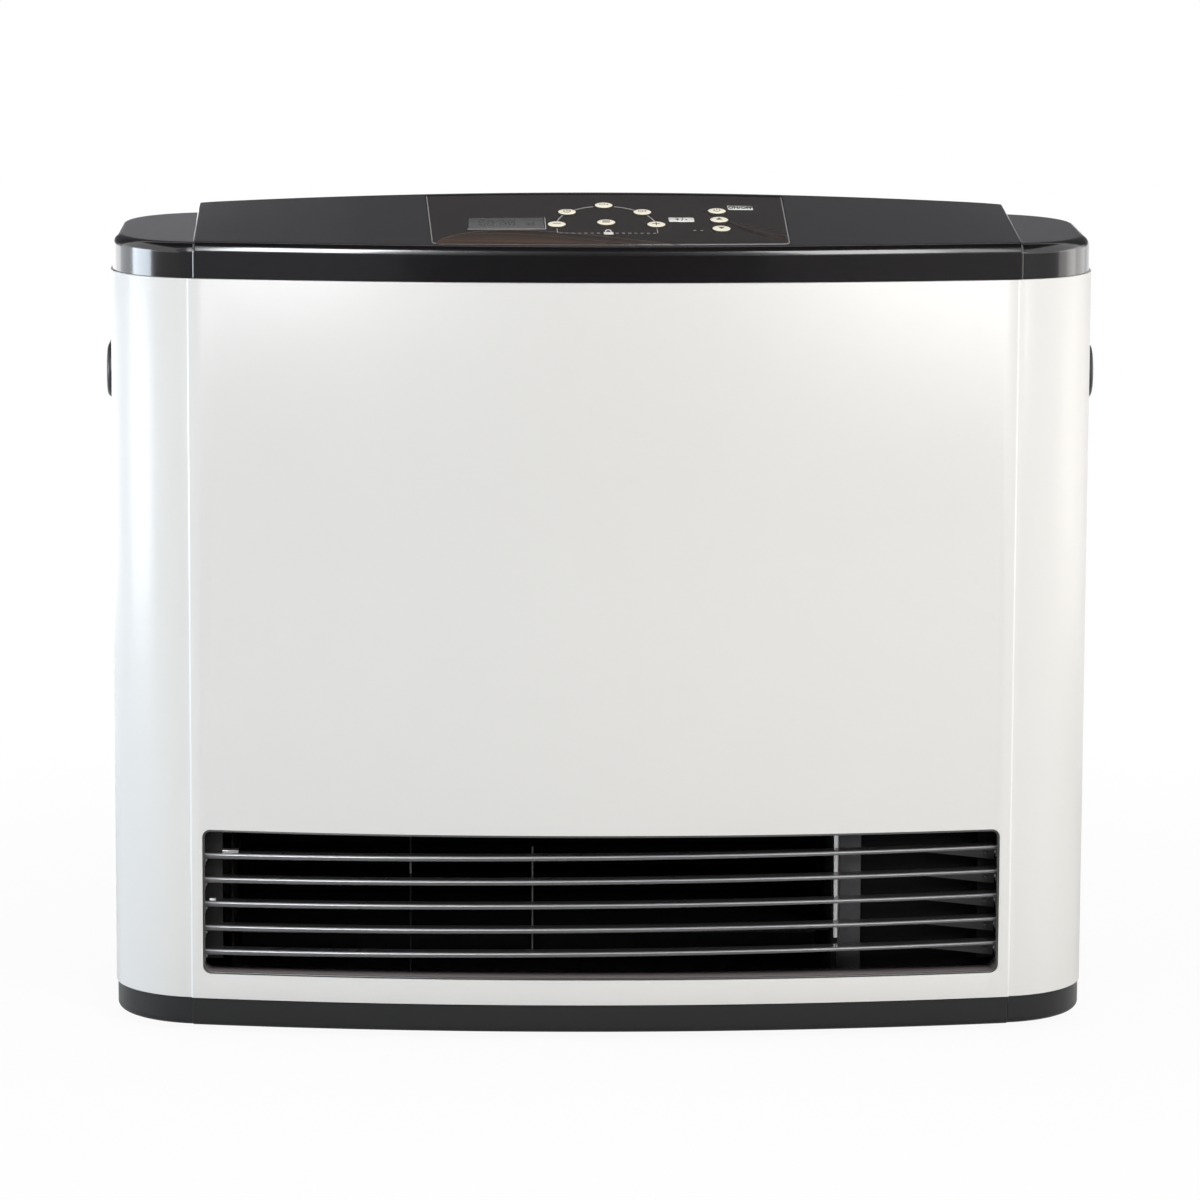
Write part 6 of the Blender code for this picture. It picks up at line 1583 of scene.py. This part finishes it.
def make_rear_screws():
    """Cross-head screws round the rear panel."""
    casing, levels = casing_and_levels()
    cross = []
    for wide, tall in ((CROSS_WIDTH, CROSS_REACH), (CROSS_REACH, CROSS_WIDTH)):
        bm = bmesh.new()
        add_cube(bm, Vector((-wide, CROSS_FOOT, -tall)), Vector((wide, CROSS_TOP, tall)))
        cross.append(new_piece("cross_cut", bm))
    head = combine(fastener_mesh("screw", SCREW, (0, 1, 0), 32), cross, "DIFFERENCE")
    reach = casing.screw_reach
    places = [(x, levels.case_low + casing.screw_margin) for x in (-reach, -reach / 3, reach / 3, reach)]
    places += [(x, levels.case_top - casing.screw_margin) for x in (-reach, 0.0, reach)]
    fastened("rear_screws", [at(x, casing.depth, z) for x, z in places], head, "dull_steel")


def make_handles():
    """Bulged grip bezels with a soft-edged finger pocket."""
    casing, levels = casing_and_levels()
    face = levels.half + casing.fit
    deep = levels.half - GRIP_DEPTH
    for name, side in (("handle_left", -1), ("handle_right", 1)):
        (x, depth, z), (thick, long, tall) = middle_of(name)
        proud = side * x + thick - face
        rings = []
        for k, (back, down) in enumerate(quarter(8)):
            radius = tall * (1.0 - 0.20 * back)
            ends = arc((long - tall, 0.0), radius, -90, 90, 20)
            loop = ends + [(-d, -v) for d, v in ends]
            x = side * (face + (proud * (1.0 - 0.88 * down) if k else 0.0))
            rings.append([at(x, depth + d, z + v) for d, v in loop])
        grip = loft(name + "_grip", rings, "handle", 40.0)

        def block(part, start, end, margin, **rounding):
            wide = long - GRIP_RIM + margin
            high = tall - GRIP_RIM + margin
            return box(
                part, (side * start, depth - wide, z - high),
                (side * end, depth + wide, z + high), **rounding)

        combine(grip, [block("grip_cup", deep, face + proud * 0.3, GRIP_WALL)], "UNION")
        pocket = block(
            "grip_pocket", deep + GRIP_WALL, face + proud * 2, 0.0, round_by=GRIP_CORNER, segments=4)
        combine(grip, [settle(pocket)], "DIFFERENCE")
        grip.data.materials.clear()
        grip.data.materials.append(LOOKS["handle"])
        finish(grip, "black_plastic", name)


# Fan

def make_fan():
    """The rotor's curved blades and its discs, turning with the shaft."""
    fan = bpy.context.scene.heater_fan
    (middle, _, axis_z), (half, _, _) = middle_of("fan_rotor")
    low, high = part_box("fan_rotor")
    axis_y = (low[1] + high[1]) / 2
    steps = 8
    outline = []
    for side, order in ((0.5, range(steps + 1)), (-0.5, range(steps, -1, -1))):
        for k in order:
            t = k / steps
            radius = fan.inner + (fan.outer - fan.inner) * t
            a = 0.16 * (t - 0.5) ** 2 - 0.13 * t + side * fan.sheet / radius
            outline.append((radius * math.cos(a), radius * math.sin(a)))
    reach = half - 0.001
    bm = body_bmesh([[(x, y, z) for y, z in outline] for x in (middle - reach, middle + reach)])
    # The aluminium rotor takes the near-black fan look: painted shade for the dark inside the duct.
    blades = new_piece("rotor_blades", bm, "fan")
    run_tree(blades, ring_tree(), "fan", Count=fan.blades, Axis_Y=axis_y, Axis_Z=axis_z)
    finish(sharpen(blades, 35.0), "aluminium", "fan_rotor", body="fan_rotor")

    bm = bmesh.new()
    chamfer, rim = 0.0004, fan.disc_radius - 0.0007
    for start in (-half, -fan.disc / 2, half - fan.disc):
        end = start + fan.disc
        hoop(bm, [
            [(middle + x, axis_y + radius * c, axis_z + radius * s) for c, s in circle(64)]
            for radius, x in (
                (fan.disc_bore, start), (rim, start), (fan.disc_radius, start + chamfer),
                (fan.disc_radius, end - chamfer), (rim, end), (fan.disc_bore, end))])
    finish(new_piece("rotor_discs", bm, "fan"), "aluminium", body="fan_rotor")


# Solids that stay in sight through openings

NODE_LOOKS = {
    "enamel": ("front_panel",),
    "rear_paint": ("rear_panel", "filter_rails"),
    "charcoal": ("top_cap",),
    "plinth": ("base_plinth", "filter_frame_left", "filter_frame_right"),
    "panel": ("control_fascia", "display_window"),
    "key": KEY_NAMES,
    "print": INDICATOR_NAMES,
    "louvre": ("louvre_frame", "control_baffle", "louvre_blade_1", "louvre_blade_2", "louvre_blade_3",
               "louvre_blade_4", "louvre_blade_5"),
    "black_plastic": ("handle_left", "handle_right", "wall_spacer_left", "wall_spacer_right", "cord_gland",
                      "room_thermistor"),
    "zinc": ("louvre_bracket_left", "louvre_bracket_right", "fan_scroll", "fan_tongue", "left_wall",
             "fan_side_plate", "divider_wall", "chassis_tray"),
    "steel": ("fan_shaft",),
    "aluminium": ("fan_rotor", "gas_valve"),
    "aluminised": ("plenum_shroud", "heat_shield", "combustion_chamber", "burner"),
    "brass": ("gas_manifold", "gas_inlet_pipe", "gas_inlet_union", "fan_bush"),
    "ceramic": ("flame_probes", "overheat_switch"),
    "board": ("control_board", "display_board"),
    "iron": ("fan_motor", "transformer"),
    "net": ("filter_mesh_left", "filter_mesh_right"),
}


# Stage

FOCAL_PIXELS, FRAME_PIXELS, SENSOR = 6080.3, 1200.0, 36.0
CAMERA_PLACE = (-0.0996, -4.1087, 0.9622)
CAMERA_YAW, CAMERA_PITCH, CAMERA_ROLL = 0.0244, 0.1645, 0.0043
FLOOD = 0.18
CARDS = (
    ("card_behind", 0.095, (-2.4, 1.50, 0.745), (2.4, 1.50, 2.3)),
    ("card_behind_left", 0.24, (-2.4, 1.49, 0.56), (-0.2, 1.49, 0.75)),
    ("card_behind_right", 0.17, (0.2, 1.49, 0.56), (2.4, 1.49, 0.75)),
    ("card_behind_middle", 0.095, (-0.2, 1.495, 0.56), (0.2, 1.495, 0.75)),
    ("card_front", 0.016, (-0.50, -2.2, 0.02), (0.50, -2.2, 3.0)),
    ("card_front_left", 0.34, (-1.6, -2.2, 0.02), (-0.50, -2.2, 1.1)),
    ("card_front_right", 0.16, (0.50, -2.2, 0.02), (1.6, -2.2, 1.1)),
    ("card_front_high_left", 0.04, (-1.9, -2.25, 1.1), (-0.50, -2.25, 3.0)),
    ("card_front_high_right", 0.04, (0.50, -2.25, 1.1), (1.9, -2.25, 3.0)),
    ("card_above", 0.02, (-2.0, -1.9, 2.7), (2.0, 1.5, 2.7)),
)
COOL = (0.82, 0.91, 1.0)
FAINT_COOL = (0.94, 0.97, 1.0)
WARM = (1.0, 0.975, 0.94)
PLAIN = (1.0, 1.0, 1.0)
LAMPS = (
    ("left_softbox", (-2.2, -0.22, 0.44), (-0.30, -0.05, 0.30), (1.05, 0.78), 23.0, COOL, "both"),
    ("right_softbox", (2.3, -0.60, 0.50), (0.30, -0.05, 0.30), (1.9, 1.25), 12.5, WARM, "diffuse"),
    ("right_strip", (2.3, 0.12, 0.30), (0.30, -0.05, 0.30), (1.15, 1.0), 5.0, WARM, "glossy"),
    ("front_right", (1.7, -3.0, 1.5), (0.1, 0.0, 0.3), (1.0, 1.0), 36.0, WARM, "both"),
    ("front_left_high", (-0.76, -2.10, 1.95), (-0.2, -0.1, 0.5), (0.62, 0.85), 11.0, FAINT_COOL, "diffuse"),
    ("front_right_high", (0.92, -2.10, 1.95), (0.2, -0.1, 0.5), (0.62, 1.1), 13.0, PLAIN, "diffuse"),
    ("nose_left", (-0.72, -1.72, 1.68), (-0.24, -0.12, 0.52), (0.42, 1.5), 38.0, FAINT_COOL, "glossy"),
    ("nose_right", (0.70, -1.72, 1.68), (0.24, -0.12, 0.52), (0.40, 1.5), 15.0, PLAIN, "glossy"),
    ("nose_wing", (1.00, -1.68, 1.62), (0.31, -0.12, 0.52), (0.18, 1.4), 2.5, PLAIN, "glossy"),
    ("rear_left", (-1.30, 1.48, 0.28), (-1.30, 0.0, 0.28), (1.8, 0.55), 3.0, PLAIN, "glossy"),
    ("key_light", (0.0, 0.05, 1.10), (0.0, 0.02, 0.53), (0.9, 0.35), 3.3, PLAIN, "diffuse"),
    ("rim_left", (-1.75, 0.62, 0.36), (-0.30, 0.0, 0.28), (1.3, 0.95), 2.2, COOL, "both"),
    ("rim_right", (1.75, 0.62, 0.36), (0.30, 0.0, 0.28), (1.3, 0.95), 3.0, WARM, "both"),
)


def make_camera():
    """The camera at the photo's angle."""
    data = bpy.data.cameras.new("photo_view")
    data.sensor_width = SENSOR
    data.lens = FOCAL_PIXELS / FRAME_PIXELS * SENSOR
    data.clip_end = 100.0
    sin, cos = math.sin, math.cos
    forward = Vector((
        sin(CAMERA_YAW) * cos(CAMERA_PITCH), cos(CAMERA_YAW) * cos(CAMERA_PITCH), -sin(CAMERA_PITCH)))
    right = Vector((cos(CAMERA_YAW), -sin(CAMERA_YAW), 0.0))
    up = right.cross(forward)
    across = cos(CAMERA_ROLL) * right + sin(CAMERA_ROLL) * up
    upright = cos(CAMERA_ROLL) * up - sin(CAMERA_ROLL) * right
    turn = Matrix((across, upright, -forward)).transposed()
    made = link_object("photo_view", data)
    made.matrix_world = Matrix.Translation(CAMERA_PLACE) @ turn.to_4x4()
    bpy.context.scene.camera = made


def make_lamp(name, place, target, size, power, tint, seen_by):
    """A soft lamp that lights plain surfaces, glossy ones or both."""
    data = bpy.data.lights.new(name, "AREA")
    data.shape = "RECTANGLE"
    data.size, data.size_y = size
    data.energy = power
    data.color = tint
    lamp = link_object(name, data)
    lamp.location = place
    lamp.rotation_euler = (Vector(target) - Vector(place)).to_track_quat("-Z", "Y").to_euler()
    lamp.visible_glossy = seen_by != "diffuse"
    lamp.visible_diffuse = seen_by != "glossy"


def make_card(name, shade, low, high):
    """A flat card that only shows in glossy surfaces."""
    tint = (shade, shade * 0.97, shade * 1.01)
    look = surface(name, tint, False, roughness=0.9, specular_IOR_level=0.0)[0]
    corners = (low, (high[0], low[1], low[2]), high, (low[0], high[1], high[2]))
    bm = bmesh.new()
    bm.faces.new([bm.verts.new(p) for p in corners])
    card = new_piece(name, bm, look, outward=False)
    card.visible_camera = False
    card.visible_diffuse = False
    card.visible_shadow = False


def make_floor():
    """A pale floor that keeps the shadow and fades to white."""
    look, tree, shader = surface(
        "pale_floor", (0.92, 0.92, 0.92), False, roughness=0.6, specular_IOR_level=0.0)
    seen = node(tree, "ShaderNodeLightPath").outputs
    place = here(tree)
    away = node(tree, "ShaderNodeVectorMath", {0: place}, operation="LENGTH").outputs["Value"]
    fade = ranged(tree, away, 0.35, 1.1, 0.94, 1.0, interpolation_type="SMOOTHSTEP")
    behind = ranged(tree, parts_of(tree, place)["Y"], 0.3, 1.0, interpolation_type="SMOOTHSTEP")
    shown = maths(
        tree, "MAXIMUM", maths(tree, "MULTIPLY", seen["Is Camera Ray"], fade),
        maths(tree, "MULTIPLY", seen["Is Glossy Ray"], behind))
    glow = node(tree, "ShaderNodeEmission", {"Color": (1.0, 1.0, 1.0, 1.0), "Strength": 1.0})
    mix = node(tree, "ShaderNodeMixShader", {0: shown, 1: shader.outputs["BSDF"], 2: glow.outputs[0]})
    tree.links.new(mix.outputs[0], tree.nodes["Material Output"].inputs["Surface"])
    bm = bmesh.new()
    bmesh.ops.create_grid(bm, x_segments=1, y_segments=1, size=8.0)
    floor = new_piece("pale_floor", bm, look, outward=False)
    floor.location = (0.0, 0.0, MODEL_BOX[0][2])


def make_world():
    """White surroundings for what is seen, and a plain level of light."""
    world = bpy.data.worlds.new("white_surroundings")
    bpy.context.scene.world = world
    world.use_nodes = True
    tree = world.node_tree
    background = tree.nodes["Background"]
    path = node(tree, "ShaderNodeLightPath").outputs
    seen = maths(tree, "MAXIMUM", path["Is Camera Ray"], path["Is Glossy Ray"])
    seen = maths(tree, "MAXIMUM", seen, path["Is Transmission Ray"])
    tree.links.new(ranged(tree, seen, start=FLOOD), background.inputs["Strength"])
    background.inputs["Color"].default_value = (1.0, 1.0, 1.0, 1.0)


# Operators and panel

class HEATER_OT_finishes(bpy.types.Operator):
    """Makes every finish of the heater"""

    bl_idname = "heater.finishes"
    bl_label = "Finishes"

    def execute(self, context):
        LOOKS.update(make_looks(context.scene.heater_colours))
        return {"FINISHED"}


class HEATER_OT_inner_pieces(bpy.types.Operator):
    """Gives the solids that stay their own finishes"""

    bl_idname = "heater.inner_pieces"
    bl_label = "Inner pieces"

    def execute(self, context):
        for look, names in NODE_LOOKS.items():
            for name in names:
                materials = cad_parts[name].data.materials
                materials.clear()
                materials.append(LOOKS[look])
        return {"FINISHED"}


class HEATER_OT_casing(bpy.types.Operator):
    """Builds the front panel, the cap and the base"""

    bl_idname = "heater.casing"
    bl_label = "Casing, cap and base"

    def execute(self, context):
        make_front_panel()
        make_cap()
        make_base()
        return {"FINISHED"}


class HEATER_OT_controls(bpy.types.Operator):
    """Builds the control panel and its keys"""

    bl_idname = "heater.controls"
    bl_label = "Controls"

    def execute(self, context):
        make_fascia()
        make_keys()
        make_display()
        make_prints()
        for name in INDICATOR_NAMES:
            dress(name, "lamp", "lamp_clear", 0.0002)
        return {"FINISHED"}


class HEATER_OT_outlet(bpy.types.Operator):
    """Builds the louvre blades, their frame and brackets"""

    bl_idname = "heater.outlet"
    bl_label = "Warm air outlet"

    def execute(self, context):
        make_outlet_frame()
        make_outlet_details(make_blades())
        return {"FINISHED"}


class HEATER_OT_rear(bpy.types.Operator):
    """Builds the rear panel, the grips, the filters and the spacers"""

    bl_idname = "heater.rear"
    bl_label = "Rear, grips and filters"

    def execute(self, context):
        make_rear_panel()
        make_rear_screws()
        make_handles()
        for word in ("left", "right"):
            dress(f"filter_frame_{word}", "plinth", "charcoal_satin", 0.0005, f"filter_{word}", 3)
            dress(f"filter_mesh_{word}", "net", "mesh_grey", 0.0, f"filter_{word}")
            dress(f"wall_spacer_{word}", "black_plastic", "black_plastic", 0.0006, segments=3)
        dress("filter_rails", "rear_paint", "grey_paint")
        dress("cord_gland", "black_plastic", "black_plastic", 0.0004)
        dress("gas_inlet_union", "brass", "brass", 0.0004)
        dress("gas_inlet_pipe", "brass", "brass", 0.0)
        return {"FINISHED"}


class HEATER_OT_fan(bpy.types.Operator):
    """Builds the crossflow rotor and dresses what stands round it"""

    bl_idname = "heater.fan"
    bl_label = "Fan unit"

    def execute(self, context):
        make_fan()
        # The duct's galvanised walls take the near-black duct look: painted shade for the dark inside.
        for name in ("fan_scroll", "fan_tongue", "left_wall", "fan_side_plate"):
            dress(name, "duct", "zinc", 0.0002)
        # The divider wall and the chassis tray take the darkened zinc: painted shade over their galvanised
        # finish.
        for name in ("divider_wall", "chassis_tray"):
            dress(name, "shaded_zinc", "zinc", 0.0002)
        # The black baffle takes the darker baffle look: black paint with painted shade.
        dress("control_baffle", "baffle", "black_paint")
        # The steel shaft takes the near-black fan look: painted shade, so that it stays dark between the
        # rotor's blades.
        dress("fan_shaft", "fan", "steel", 0.0002, "fan_rotor")
        for name, look, slot_name in (
            ("fan_motor", "iron", "iron"), ("fan_bush", "iron", "brass"),
            ("gas_valve", "aluminium", "aluminium"), ("transformer", "iron", "iron"),
            ("gas_manifold", "brass", "brass"),
        ):
            dress(name, look, slot_name)
        return {"FINISHED"}


class HEATER_OT_stage(bpy.types.Operator):
    """Sets up the floor, the lamps and the camera"""

    bl_idname = "heater.stage"
    bl_label = "Stage"

    def execute(self, context):
        make_floor()
        make_world()
        for row in CARDS:
            make_card(*row)
        for row in LAMPS:
            make_lamp(*row)
        context.scene.view_settings.view_transform = "Standard"
        make_camera()
        return {"FINISHED"}


class HEATER_PT_panel(bpy.types.Panel):
    """Lists the heater's operators and sizes"""

    bl_idname = "HEATER_PT_panel"
    bl_label = "Heater"
    bl_space_type = "VIEW_3D"
    bl_region_type = "UI"
    bl_category = "Heater"

    def draw(self, context):
        for operator in OPERATORS:
            self.layout.operator(operator.bl_idname)
        for name, group in SETTINGS:
            settings = getattr(context.scene, name)
            self.layout.label(text=group.__doc__)
            for key in group.__annotations__:
                self.layout.prop(settings, key)


OPERATORS = (
    HEATER_OT_finishes, HEATER_OT_inner_pieces, HEATER_OT_casing, HEATER_OT_controls, HEATER_OT_outlet,
    HEATER_OT_rear, HEATER_OT_fan, HEATER_OT_stage,
)


def register():
    for name, group in SETTINGS:
        bpy.utils.register_class(group)
        setattr(bpy.types.Scene, name, bpy.props.PointerProperty(type=group))
    for operator in OPERATORS:
        bpy.utils.register_class(operator)
    bpy.utils.register_class(HEATER_PT_panel)


def unregister():
    bpy.utils.unregister_class(HEATER_PT_panel)
    for operator in reversed(OPERATORS):
        bpy.utils.unregister_class(operator)
    for name, group in reversed(SETTINGS):
        delattr(bpy.types.Scene, name)
        bpy.utils.unregister_class(group)


def main():
    register()
    bpy.ops.heater.finishes()
    bpy.ops.heater.inner_pieces()
    bpy.ops.heater.casing()
    bpy.ops.heater.controls()
    bpy.ops.heater.outlet()
    bpy.ops.heater.rear()
    bpy.ops.heater.fan()
    bpy.ops.heater.stage()


if __name__ == "__main__":
    main()
